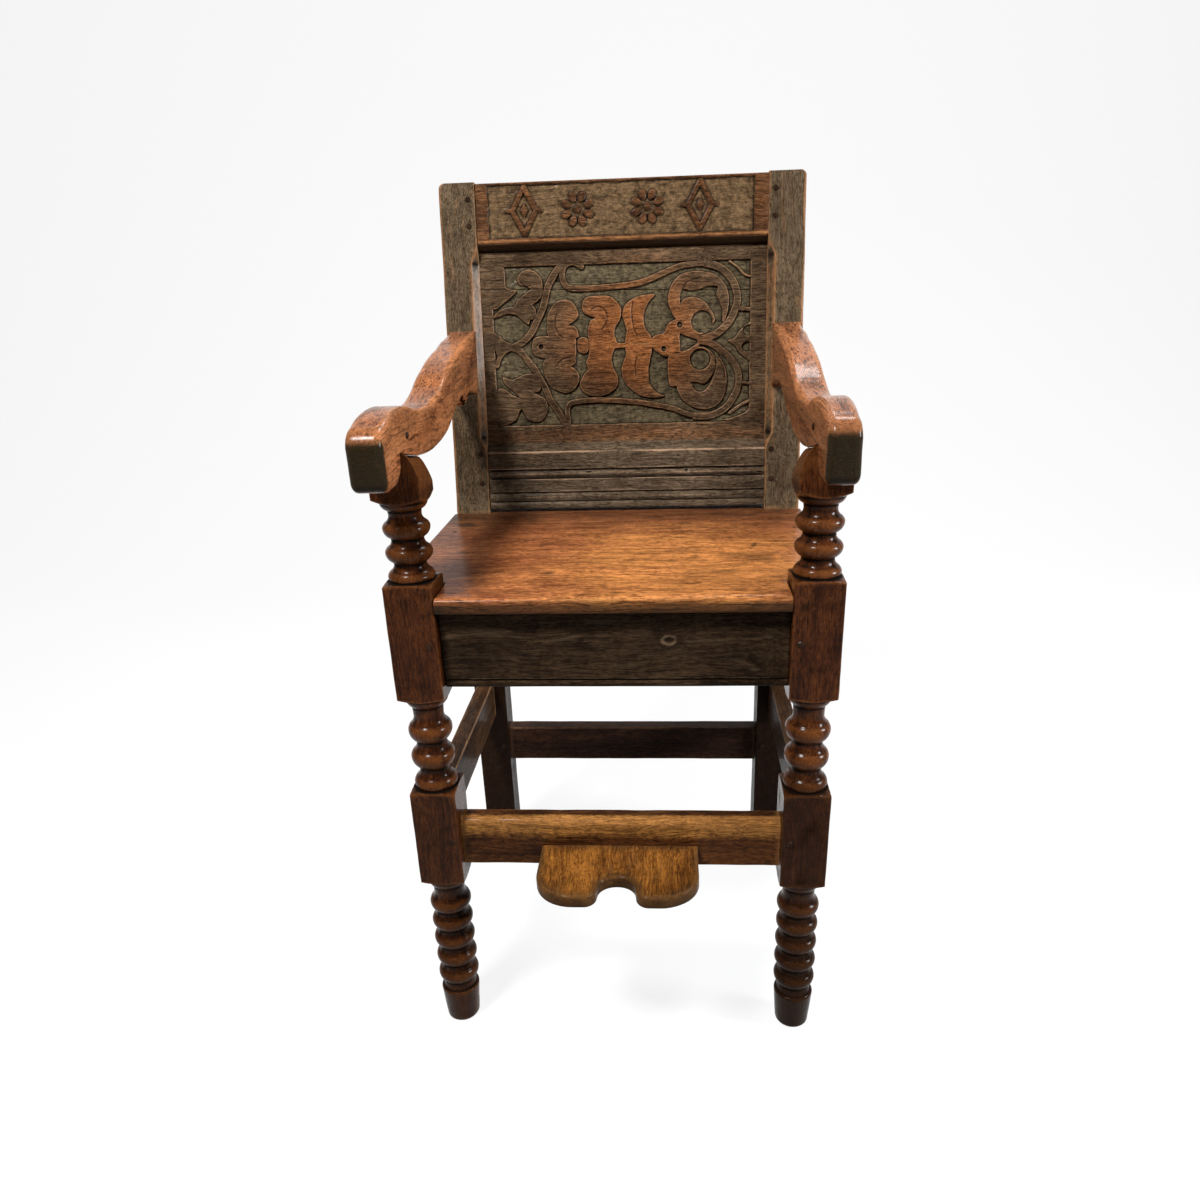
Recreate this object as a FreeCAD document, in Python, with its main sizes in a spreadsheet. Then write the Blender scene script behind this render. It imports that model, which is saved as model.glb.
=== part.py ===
import FreeCAD, Part
import math
import os
import Sketcher

# A child's high chair of the wainscot kind, in joined oak.
# Four posts and ten rails are held by pegged mortise-and-tenon joints. The back is a
# panel loose in grooves. The front posts are square oak turned on the lathe between the joints.
#
# Places are given in the chair's own frame: x across from the middle, y back from the
# front face of the front posts, z up from the floor. The back leans, and what belongs to
# it is laid out in a leaning frame: x across, depth behind the back's front face, and the
# way up its slope from the seat's top. All sizes are in millimetres.

SIZES = {
    # The whole chair
    "front_width": 450,  # over the outer faces of the front posts
    "rear_splay": 3,  # how much further out each rear post stands than its front post
    "frame_depth": 388,  # front of the front posts to the back of the rear legs
    "seat_height": 548,  # top of the seat boards
    "back_rise": 404,  # seat to the top front corner of the rear posts
    "back_lean": 66.5,  # how far that corner stands behind the seat's rear edge
    # Front posts
    "post_square": 50,
    "block_above_seat": 14,  # square block that shows above the seat
    "block_below_rail": 10,  # square block below the seat rails
    "block_above_stretcher": 28,
    "block_below_stretcher": 19,
    "arm_rise": 142,  # seat to the arm's underside, at the post's front face
    "arm_seat_fall": 11,  # how much lower the arm's underside is at the post's back face
    "arm_block_height": 42,
    "arm_block_round_across": 13.5,  # the arm block's inner top corner is rounded over
    "arm_block_round_up": 26,
    # Turned stretches of the front posts
    "ring_radius": 23.8,
    "neck_radius": 16.5,
    "foot_neck_radius": 18,
    "foot_height": 47,  # plain foot below the lowest ring
    "foot_top_radius": 22.6,
    "foot_tip_radius": 19.8,
    "foot_edge": 5,
    "pommel_fall": 3.5,  # how far the lathe cuts a block's top corners down
    # Rear posts
    "rear_post_width": 46,
    "rear_post_depth": 43,
    "rear_post_top_round": 7,
    "stop_chamfer": 7,
    "stop_chamfer_taper": 22,
    "stop_chamfer_foot": 77,  # up the slope, where the chamfer starts
    "stop_chamfer_head": 336,  # up the slope, where it ends
    # Joints
    "tenon_thickness": 8,
    "tenon_length": 20,
    "tenon_shoulder": 8,
    "tenon_set_back": 7,  # front face of a rail to its tenon's cheek
    "tenon_clearance": 0.1,  # on each side of a tenon in its mortise
    "mortise_spare": 1,  # depth left beyond a tenon's end
    "peg_diameter": 7,
    "peg_clearance": 0.1,
    "peg_set_back": 9,  # shoulder of a joint to the middle of its peg
    "peg_reach": 7,  # how far a peg runs on past the tenon
    "peg_proud": 1.2,
    "peg_edge": 0.9,
    # Seat rails
    "rail_thickness": 22,
    "front_rail_set_back": 11,
    "rear_rail_set_back": 8,
    "side_rail_set_back": 4.7,
    "seat_rail_height": 84,
    "bead_height": 8,
    "bead_groove": 2.6,
    # Stretchers
    "front_stretcher_height": 58,
    "front_stretcher_round": 7,
    "side_stretcher_height": 54,
    "rear_stretcher_height": 53,
    "worn_edge": 1.6,
    # Seat
    "seat_thickness": 17,
    "seat_front_overhang": 1.5,
    "seat_side_overhang": 5,
    "seat_nosing": 7,
    "seat_under_nosing": 3,
    "seat_rear_board": 53,  # the joint between the boards to the front of the rear posts
    "seat_gap": 0.3,
    "seat_tongue_gap": 1,
    "seat_pin_diameter": 5,
    "seat_pin_length": 45,
    # Back rails and panel
    "back_rail_thickness": 26,
    "lower_rail_foot": 4.7,
    "lower_rail_height": 86.3,
    "lower_rail_bevel": 13,
    "panel_recess": 10,
    "moulding_depth": 2.2,
    "top_rail_foot": 328,
    "top_rail_chamfer": 12,
    "top_rail_drop": 1.5,  # below the tops of the posts
    "sunk_field_depth": 2.8,
    "sunk_field_margin": 17.5,
    "sunk_field_foot": 4,
    "sunk_field_head": 5,
    "panel_thickness": 12,
    "panel_edge_thickness": 5.6,
    "panel_bevel_width": 30,
    "panel_groove_width": 7.5,
    "panel_groove_depth": 8,
    "panel_in_groove": 6.5,
    "panel_gap": 0.2,
    "panel_field_depth": 4,
    "panel_field_margin": 14,
    "panel_field_foot": 21,
    "panel_field_head": 14,
    # Arms
    "arm_thickness": 36,
    "arm_inset": 0,  # outer face of the arm inside the outer face of the post
    "arm_rear_rise": 88,  # arm's underside at the post to its top at the rear post
    "arm_nose": 55,  # reach of the handgrip in front of the post
    "arm_grip_gap": 1.5,
    "arm_seat_run": 56,
    "arm_edge": 2.5,
    "arm_tenon_width": 18,
    "arm_tenon_depth": 26,
    "arm_tenon_height": 24,
    "arm_rear_tenon_foot": 26,  # above the arm's underside at the post
    "arm_rear_tenon_height": 48,
    "arm_rear_tenon_thickness": 10,
    "arm_rear_tenon_length": 24,
    "arm_peg_up": 13,
    # Footrest
    "footrest_width": 172,
    "footrest_reach": 86.5,
    "footrest_thickness": 14,
    "footrest_rise": 25.5,  # above the front stretcher's underside
    "footrest_lobe": 40,
    "footrest_notch_width": 38,
    "footrest_notch_depth": 33,
    "footrest_edge": 3.5,
    "footrest_tongue_width": 120,
    "footrest_tongue_depth": 14,
    "footrest_tongue_thickness": 10,
    "footrest_peg_spread": 76,
    # Making
    "overrun": 5,  # how far a cut runs past what it cuts
}

# How high the undersides of the stretchers stand, as shares of the seat's height
FRONT_STRETCHER_SHARE = 0.418
SIDE_STRETCHER_SHARE = 0.4453
REAR_STRETCHER_SHARE = 0.303

# Where the pins of the front seat board stand, as shares of its depth
SEAT_PIN_SHARES = (0.31, 0.86)

# Shares that shape the turning: the last neck of a stretch, a ring's half height and
# the radius where ring and hollow meet
POST_END_SHARE = 0.5
FOOT_END_SHARE = 1.35
RING_HALF_SHARE = 0.3
RING_SIDE_SHARE = 0.38
SHOULDER_SHARE = 0.55
SHOULDER_ROUND_SHARE = 0.15
UPPER_RINGS = 3
MIDDLE_RINGS = 3
FOOT_RINGS = 5

# Rings, reeds and hollows of the lower rail's moulding, as shares of its height
REED_SHARES = (0.11, 0.24)
FLAT_TOP_SHARE = 0.45
BEAD_SHARES = (0.48, 0.57)
UPPER_FLAT_SHARE = 0.6

# Outline of the arm. Behind the post an entry is a share of the frame's clear depth and
# a share of arm_rear_rise; in front of it the first share is of arm_nose. A bend is the
# middle of an arc, and a smooth arc carries on from the one before it without a corner.
ARM_TOP_SHARES = (
    ("bend", 0.895, 0.873),
    ("corner", 0.682, 0.698),
    ("smooth", 0, 0),
    ("corner", 0.5475, 0.516),
    ("smooth", 0, 0),
    ("corner", 0.176, 0.395),
    ("smooth", 0, 0),
)
ARM_NOSE_SHARES = (
    ("corner", -0.667, 0.361),
    ("smooth", 0, 0),
    ("corner", -1.0, 0.048),
    ("smooth", 0, 0),
    ("corner", -0.507, -0.31),
    ("smooth", 0, 0),
)
ARM_GRIP_BACK_SHARE = -0.1
ARM_BELLY_SHARES = (
    ("bend", 0.33, -0.212),
    ("corner", 0.56, -0.115),
    ("bend", 0.68, 0.034),
    ("corner", 0.79, 0.195),
    ("bend", 0.94, 0.222),
)
ARM_REAR_FOOT_SHARE = 0.125

PEG_SIDES = 8
TOUCH = 0.000001  # closer than this, two points are one
NEAR = 0.01  # closer than this, an edge counts as lying where it is looked for


class Size:
    """A number that also carries the sheet expression it was worked out from."""

    def __init__(self, number, text):
        self.number = number
        self.text = text

    def __add__(self, other):
        return join(self, "+", other, lambda a, b: a + b)

    def __radd__(self, other):
        return join(other, "+", self, lambda a, b: a + b)

    def __sub__(self, other):
        return join(self, "-", other, lambda a, b: a - b)

    def __rsub__(self, other):
        return join(other, "-", self, lambda a, b: a - b)

    def __mul__(self, other):
        return join(self, "*", other, lambda a, b: a * b)

    def __rmul__(self, other):
        return join(other, "*", self, lambda a, b: a * b)

    def __truediv__(self, other):
        return join(self, "/", other, lambda a, b: a / b)

    def __neg__(self):
        return 0 - self


def as_size(value):
    return value if isinstance(value, Size) else Size(float(value), str(value))


def join(left, sign, right, work_out):
    left = as_size(left)
    right = as_size(right)
    return Size(work_out(left.number, right.number), f"({left.text} {sign} {right.text})")


doc = FreeCAD.newDocument("HighChair")
sheet = doc.addObject("Spreadsheet::Sheet", "Sizes")
for row, (name, value) in enumerate(SIZES.items(), start=1):
    sheet.set(f"A{row}", name)
    sheet.set(f"B{row}", str(value))
    sheet.setAlias(f"B{row}", name)
doc.recompute()


def size(name):
    return Size(float(sheet.get(name)), f"Sizes.{name}")


def keep(name, value):
    """Write a worked-out size into the sheet under a name of its own."""
    place = len(SIZES) + len(kept) + 1
    kept.append(name)
    formula = value.text.replace("Sizes.", "")
    sheet.set(f"A{place}", name)
    sheet.set(f"B{place}", f"={formula}")
    sheet.setAlias(f"B{place}", name)
    return Size(value.number, f"Sizes.{name}")


kept = []


# Sizes worked out from the sheet
post = size("post_square")
front_half = keep("front_half", size("front_width") / 2)
rear_half = keep("rear_half", front_half + size("rear_splay"))
post_middle = keep("post_middle", front_half - post / 2)
post_inner = keep("post_inner", front_half - post)
rear_inner = keep("rear_inner", rear_half - size("rear_post_width"))
rear_face = keep("rear_face", size("frame_depth") - size("rear_post_depth"))
seat_top = size("seat_height")
rail_top = keep("rail_top", seat_top - size("seat_thickness"))
rail_foot = keep("rail_foot", rail_top - size("seat_rail_height"))
rail = size("rail_thickness")
arm_seat = keep("arm_seat", seat_top + size("arm_rise"))
arm_block_foot = keep("arm_block_foot", arm_seat - size("arm_block_height"))
seat_block_top = keep("seat_block_top", seat_top + size("block_above_seat"))
seat_block_foot = keep("seat_block_foot", rail_foot - size("block_below_rail"))
front_stretcher_foot = keep("front_stretcher_foot", seat_top * FRONT_STRETCHER_SHARE)
side_stretcher_foot = keep("side_stretcher_foot", seat_top * SIDE_STRETCHER_SHARE)
rear_stretcher_foot = keep("rear_stretcher_foot", seat_top * REAR_STRETCHER_SHARE)
footrest_top = keep("footrest_top", front_stretcher_foot + size("footrest_rise"))
side_stretcher_top = keep("side_stretcher_top", side_stretcher_foot + size("side_stretcher_height"))
low_block_top = keep("low_block_top", side_stretcher_top + size("block_above_stretcher"))
low_block_foot = keep("low_block_foot", front_stretcher_foot - size("block_below_stretcher"))
side_rail_outer = keep("side_rail_outer", front_half - size("side_rail_set_back"))
side_rail_inner = keep("side_rail_inner", side_rail_outer - rail)
arm_outer = keep("arm_outer", front_half - size("arm_inset"))
arm_inner = keep("arm_inner", arm_outer - size("arm_thickness"))
overrun = size("overrun")
spare = size("mortise_spare")

# The back's lean, as its slope length, cosine and sine
rise = size("back_rise")
lean = size("back_lean")
slope_length = keep(
    "slope_length",
    Size(
        math.hypot(rise.number, lean.number),
        f"sqrt({rise.text} * {rise.text} + {lean.text} * {lean.text})",
    ),
)
lean_cos = keep("lean_cos", rise / slope_length)
lean_sin = keep("lean_sin", lean / slope_length)
lean_angle = keep(
    "lean_angle",
    Size(
        math.degrees(math.atan2(lean.number, rise.number)),
        f"atan({lean.text} / {rise.text}) / 1 deg",
    ),
)

# The chair stands with the middle of its depth on the origin: footrest tip to post top
front_reach = keep("front_reach", size("front_rail_set_back") - size("footrest_reach"))
back_reach = keep("back_reach", rear_face + slope_length * lean_sin + size("rear_post_depth") * lean_cos)
middle_depth = keep("middle_depth", (front_reach + back_reach) / 2)

TILT = FreeCAD.Vector(-1, 0, 0)  # turning about this way tips a thing backward
BACKWARD = FreeCAD.Vector(0, 1, 0)


def bind(thing, name, value):
    """Set a property to a size's number and tie it to the sheet."""
    value = as_size(value)
    thing.setExpression(name, value.text)


def put(thing, at, axis=TILT, angle=0):
    """Place a body or a feature at a point, turned about an axis."""
    at = [as_size(part) for part in at]
    angle = as_size(angle)
    thing.Placement = FreeCAD.Placement(
        FreeCAD.Vector(*[part.number for part in at]), FreeCAD.Rotation(axis, angle.number)
    )
    for letter, part in zip("xyz", at):
        bind(thing, f"Placement.Base.{letter}", part)
    if angle.number:
        bind(thing, "Placement.Rotation.Angle", angle)


def on_slope(across, deep, up):
    """The chair-frame place of a point of the leaning frame."""
    back = rear_face + deep * lean_cos + up * lean_sin
    high = seat_top - deep * lean_sin + up * lean_cos
    return (across, back, high)


pieces = []


def new_piece(name, leaning=False):
    """A body in the chair's frame, or in the leaning frame of the back."""
    body = doc.addObject("PartDesign::Body", name)
    body.Label = name
    body.AllowCompound = True
    if leaning:
        put(body, (0, rear_face - middle_depth, seat_top), TILT, lean_angle)
    else:
        put(body, (0, -middle_depth, 0))
    pieces.append(body)
    return body


def block(body, name, low, high, cut=False, leaning=False):
    """A square-edged block between two opposite corners, added or cut away."""
    kind = "PartDesign::SubtractiveBox" if cut else "PartDesign::AdditiveBox"
    feature = body.newObject(kind, name)
    for side, least, most in zip(("Length", "Width", "Height"), low, high):
        bind(feature, side, most - least)
    if leaning:
        put(feature, on_slope(*low), TILT, lean_angle)
    else:
        put(feature, low)
    return feature


# Turns that point a bore or a peg, which starts out upright, another way
TURNS = {
    "back": (TILT, 90),
    "right": (BACKWARD, 90),
    "left": (-BACKWARD, 90),
    "up": (TILT, 0),
    "down": (TILT, 180),
}


def point(feature, at, way, leaning):
    axis, angle = TURNS[way]
    if leaning and way == "back":
        angle = angle + lean_angle
    put(feature, on_slope(*at) if leaning else at, axis, angle)


def bore(body, name, at, length, way, leaning=False, diameter=None):
    """A round peg hole that starts at a point and runs one way."""
    across = diameter or size("peg_diameter")
    feature = body.newObject("PartDesign::SubtractiveCylinder", name)
    bind(feature, "Radius", across / 2 + size("peg_clearance"))
    bind(feature, "Height", length)
    point(feature, at, way, leaning)
    return feature


def peg(body, name, at, length, way, diameter=None):
    """One whittled peg with eight sides."""
    across = diameter or size("peg_diameter")
    feature = body.newObject("PartDesign::AdditivePrism", name)
    feature.Polygon = PEG_SIDES
    bind(feature, "Circumradius", across / 2)
    bind(feature, "Height", length)
    point(feature, at, way, False)
    return feature


def sided(side, near, far):
    """The lowest and highest x of what lies from near to far out from the middle."""
    return (near, far) if side > 0 else (-far, -near)


def sketch_on(body, role, name, offset=None):
    """A sketch on one of the body's own planes, moved off it along its normal."""
    plane = [part for part in body.Origin.OriginFeatures if part.Role == role][0]
    sketch = body.newObject("Sketcher::SketchObject", name)
    sketch.AttachmentSupport = [(plane, "")]
    sketch.MapMode = "FlatFace"
    if offset is not None:
        sketch.AttachmentOffset = FreeCAD.Placement(
            FreeCAD.Vector(0, 0, offset.number), FreeCAD.Rotation()
        )
        bind(sketch, "AttachmentOffset.Base.z", offset)
    return sketch


def vector(spot):
    return FreeCAD.Vector(spot[0].number, spot[1].number, 0)


def arc_middle(start, end, heading):
    """The middle of the arc between two points that sets off along a heading."""
    chord = end - start
    side = FreeCAD.Vector(-chord.y, chord.x, 0)
    turn = heading.cross(chord).z / (chord.Length * heading.Length + heading.dot(chord))
    return start + chord / 2 - side * (turn / 2)


def end_heading(start, middle, end):
    """The way an arc heads at its end: half its turn beyond its last half's chord."""
    last_half = end - middle
    chord = end - start
    along = last_half * (2 * last_half.dot(chord) / last_half.dot(last_half))
    return along - chord


def draw(sketch, path):
    """Draw a closed outline of straight lines and arcs.

    A corner is joined to the next one by a straight line, unless a bend, the middle of
    an arc, or a smooth arc, which carries on from the edge before it, stands between.
    """
    path = [(kind, as_size(across), as_size(up)) for kind, across, up in path]
    corners = [place for place, entry in enumerate(path) if entry[0] == "corner"]
    ties = []

    def tie(value, kind, *rest):
        """Note a constraint and, for a distance, the size that drives it."""
        ties.append((Sketcher.Constraint(kind, *rest), value))

    edges = []
    heading = FreeCAD.Vector(1, 0, 0)
    for place, start in enumerate(corners):
        first = vector(path[start][1:])
        last = vector(path[corners[(place + 1) % len(corners)]][1:])
        kind, across, up = path[(start + 1) % len(path)]
        if kind == "corner":
            edges.append((sketch.addGeometry(Part.LineSegment(first, last), False), 1, 2, kind))
            heading = last - first
            continue
        middle = vector((across, up)) if kind == "bend" else arc_middle(first, last, heading)
        index = sketch.addGeometry(Part.Arc(first, middle, last), False)
        runs_back = sketch.getPoint(index, 1).distanceToPoint(first) > TOUCH
        edges.append((index, 2, 1, kind) if runs_back else (index, 1, 2, kind))
        heading = end_heading(first, middle, last)
        if kind == "bend":
            mark = sketch.addGeometry(Part.Point(middle), True)
            tie(across, "DistanceX", -1, 1, mark, 1, across.number)
            tie(up, "DistanceY", -1, 1, mark, 1, up.number)
            tie(None, "PointOnObject", mark, 1, index)
    for place, (index, first_end, last_end, kind) in enumerate(edges):
        next_index, next_first, next_last, next_kind = edges[(place + 1) % len(edges)]
        join_kind = "Tangent" if next_kind == "smooth" else "Coincident"
        tie(None, join_kind, index, last_end, next_index, next_first)
        across, up = path[corners[place]][1:]
        tie(across, "DistanceX", -1, 1, index, first_end, across.number)
        tie(up, "DistanceY", -1, 1, index, first_end, up.number)
    numbers = sketch.addConstraint([constraint for constraint, value in ties])
    for number, (constraint, value) in zip(numbers, ties):
        if value is not None:
            sketch.setExpression(f"Constraints[{number}]", value.text)


def rectangle(low, high):
    """The four corners of an upright rectangle between two opposite ones."""
    return [
        ("corner", low[0], low[1]),
        ("corner", high[0], low[1]),
        ("corner", high[0], high[1]),
        ("corner", low[0], high[1]),
    ]


def pad(body, sketch, length, both_ways=False):
    feature = body.newObject("PartDesign::Pad", sketch.Name + "_pad")
    feature.Profile = sketch
    feature.SideType = "Symmetric" if both_ways else "One side"
    bind(feature, "Length", length)
    return feature


def pocket_through(body, sketch, length):
    """Saw away an outline over a length centred on its plane."""
    feature = body.newObject("PartDesign::Pocket", sketch.Name + "_cut")
    feature.Profile = sketch
    feature.SideType = "Symmetric"
    bind(feature, "Length", length)
    return feature


def ease(body, name, radius, wanted, kind="PartDesign::Fillet"):
    """Round or bevel the edges of the body that a test picks out."""
    doc.recompute()
    base = body.Tip
    names = [
        f"Edge{number}"
        for number, edge in enumerate(base.Shape.Edges, start=1)
        if wanted(edge)
    ]
    feature = body.newObject(kind, name)
    feature.Base = (base, names)
    bind(feature, "Radius" if kind == "PartDesign::Fillet" else "Size", radius)
    return feature


def near(value, target):
    return abs(value - target.number) < NEAR


# Mortise and tenon

cheek = size("tenon_set_back")
tenon = size("tenon_thickness")
tenon_length = size("tenon_length")
play = size("tenon_clearance")
tenon_edge = size("tenon_shoulder")


def tenon_pair(body, name, run, shoulder, near_y, foot, top):
    """Tenons at both ends of a rail that runs across; near_y is the rail's front face."""
    for side, word in ((-1, "left"), (1, "right")):
        low_x, high_x = sided(side, shoulder, shoulder + run)
        low = (low_x, near_y + cheek, foot + tenon_edge)
        high = (high_x, near_y + cheek + tenon, top - tenon_edge)
        block(body, f"{name}_{word}_tenon", low, high)


def mortise_across(body, name, side, shoulder, near_y, foot, top, leaning=False):
    """The mortise in a post for a rail that runs across."""
    low_x, high_x = sided(side, shoulder - overrun, shoulder + tenon_length + spare)
    if side > 0:
        low_x = shoulder
    else:
        high_x = -shoulder
    low = (low_x, near_y + cheek - play, foot + tenon_edge - play)
    high = (high_x, near_y + cheek + tenon + play, top - tenon_edge + play)
    block(body, name, low, high, cut=True, leaning=leaning)


def mortise_back(body, name, side, face, way, foot, top):
    """The mortise in a post for a side rail; way is +1 into the rear post."""
    near_x = side_rail_outer - cheek
    low_x, high_x = sided(side, near_x - tenon - play, near_x + play)
    depth = tenon_length + spare
    low_y, high_y = (face, face + depth) if way > 0 else (face - depth, face)
    low = (low_x, low_y, foot + tenon_edge - play)
    high = (high_x, high_y, top - tenon_edge + play)
    block(body, name, low, high, cut=True)


# Where each joint's pegs stand: up from the floor, or up the slope of the back
front_rail_peg = rail_foot + size("seat_rail_height") * 0.6
side_rail_pegs = (rail_foot + size("seat_rail_height") * 0.3, rail_foot + size("seat_rail_height") * 0.72)
rear_rail_pegs = (rail_foot + size("seat_rail_height") * 0.25, rail_foot + size("seat_rail_height") * 0.75)
front_stretcher_peg = front_stretcher_foot + size("front_stretcher_height") * 0.62
side_stretcher_peg = side_stretcher_foot + size("side_stretcher_height") * 0.5
rear_stretcher_peg = rear_stretcher_foot + size("rear_stretcher_height") * 0.5
lower_rail_top = size("lower_rail_foot") + size("lower_rail_height")
top_rail_top = slope_length - size("top_rail_drop")
lower_rail_pegs = (
    size("lower_rail_foot") + size("lower_rail_height") * 0.4,
    size("lower_rail_foot") + size("lower_rail_height") * 0.84,
)
top_rail_height = top_rail_top - size("top_rail_foot")
top_rail_pegs = (
    size("top_rail_foot") + top_rail_height * 0.38,
    size("top_rail_foot") + top_rail_height * 0.77,
)

peg_in = size("peg_set_back")
proud = size("peg_proud")
reach = size("peg_reach")
front_rail_front = size("front_rail_set_back")
rear_rail_front = rear_face + size("rear_rail_set_back")
front_peg_length = front_rail_front + cheek + tenon + reach
rear_peg_length = size("rear_rail_set_back") + cheek + tenon + reach
back_peg_length = cheek + tenon + reach
side_peg_from_front = front_half
side_peg_from_rear = rear_half
side_peg_end = side_rail_outer - cheek - tenon - reach
arm_tenon_middle = (arm_outer + arm_inner) / 2
arm_tenon_half = size("arm_tenon_width") / 2
arm_peg_height = arm_seat + size("arm_peg_up")
arm_peg_end = arm_tenon_middle + arm_tenon_half + reach
rear_tenon_half = size("arm_rear_tenon_thickness") / 2
rear_tenon_foot = arm_seat + size("arm_rear_tenon_foot")
rear_tenon_top = rear_tenon_foot + size("arm_rear_tenon_height")
arm_rear_peg_height = (rear_tenon_foot + rear_tenon_top) / 2
arm_rear_peg_back = rear_face + (arm_rear_peg_height - seat_top) * lean / rise + peg_in + spare * 2
arm_rear_peg_end = arm_tenon_middle - rear_tenon_half - reach
inward = {1: "left", -1: "right"}


def side_pegs():
    """Where every peg driven in from the chair's side starts, its end, height and depth."""
    front_y = post - peg_in
    rear_y = rear_face + peg_in
    rails = []
    for high in side_rail_pegs:
        rails.append((side_peg_from_front, side_peg_end, front_y, high))
        rails.append((side_peg_from_rear, side_peg_end, rear_y, high))
    stretchers = [
        (side_peg_from_front, side_peg_end, front_y, side_stretcher_peg),
        (side_peg_from_rear, side_peg_end, rear_y, side_stretcher_peg),
    ]
    return rails, stretchers


side_rail_peg_places, side_stretcher_peg_places = side_pegs()


# Front posts

corner_radius = post * 0.7072 + overrun
ring = size("ring_radius")


def rings(start, pitch, count, neck):
    """Rings and hollows upward from start, as corners and bends of the turned outline."""
    half = pitch * RING_HALF_SHARE
    meet = neck + (ring - neck) * RING_SIDE_SHARE
    path = []
    for turn in range(count):
        middle = start + half + pitch * turn
        path.append(("corner", meet, middle - half))
        path.append(("bend", ring, middle))
        path.append(("corner", meet, middle + half))
        if turn < count - 1:
            path.append(("bend", neck, middle + pitch / 2))
    return path


def shoulder(neck, block_foot, pitch):
    """The neck and hollow that lead up to a square block's lathe-cut foot."""
    rounding = pitch * SHOULDER_ROUND_SHARE
    hollow = pitch * SHOULDER_SHARE
    return [
        ("corner", neck, block_foot - hollow),
        ("bend", neck + (ring - neck) * 0.35, block_foot - rounding - (hollow - rounding) * 0.4),
        ("corner", ring, block_foot - rounding),
        ("corner", corner_radius, block_foot + rounding * 0.4),
    ]


def turn_between(body, name, low, high, count, cup):
    """Turn a stretch of the post from the block below it up to the block above."""
    neck = size("neck_radius")
    pitch = (high - low) / (count + POST_END_SHARE)
    half = pitch * RING_HALF_SHARE
    last = low + pitch * (count - 1) + half * 2
    path = [("corner", corner_radius, low - size("pommel_fall"))]
    path += rings(low, pitch, count, neck)
    if cup:
        path += [
            ("bend", neck, last + (high - last) * 0.28),
            ("corner", neck + (ring - neck) * RING_SIDE_SHARE, last + (high - last) * 0.5),
            ("bend", ring - (ring - neck) * 0.16, last + (high - last) * 0.7),
            ("corner", ring, high),
            ("corner", corner_radius, high + size("pommel_fall") * 0.5),
        ]
    else:
        path += [("bend", neck + (ring - neck) * 0.08, last + pitch * 0.08)]
        path += shoulder(neck, high, pitch)
    sketch = sketch_on(body, "XZ_Plane", name)
    draw(sketch, path)
    groove(body, sketch)


def groove(body, sketch):
    feature = body.newObject("PartDesign::Groove", sketch.Name + "_groove")
    feature.Profile = sketch
    feature.ReferenceAxis = (sketch, ["V_Axis"])
    feature.Angle = 360
    return feature


def turn_foot(body, name):
    """Turn the post's foot: five rings above a plain foot that narrows to the floor."""
    neck = size("foot_neck_radius")
    foot = size("foot_height")
    edge = size("foot_edge")
    tip = size("foot_tip_radius")
    top = size("foot_top_radius")
    pitch = (low_block_foot - foot) / (FOOT_RINGS + FOOT_END_SHARE)
    half = pitch * RING_HALF_SHARE
    meet = neck + (ring - neck) * RING_SIDE_SHARE
    start = foot + pitch - half
    last = start + pitch * (FOOT_RINGS - 1) + half * 2
    path = [
        ("corner", corner_radius, -overrun),
        ("corner", tip - edge, -overrun),
        ("corner", tip - edge, 0),
        ("bend", tip - edge * 0.293, edge * 0.293),
        ("corner", tip, edge),
        ("corner", top, foot - edge),
        ("bend", top - (top - meet) * 0.3, foot - edge * 0.2),
        ("corner", meet, foot + edge * 0.6),
        ("bend", neck, (foot + edge * 0.6 + start) / 2),
    ]
    path += rings(start, pitch, FOOT_RINGS, neck)
    path += [("bend", neck + (ring - neck) * 0.08, last + pitch * 0.08)]
    path += shoulder(neck, low_block_foot, pitch)
    sketch = sketch_on(body, "XZ_Plane", name)
    draw(sketch, path)
    groove(body, sketch)


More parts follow.
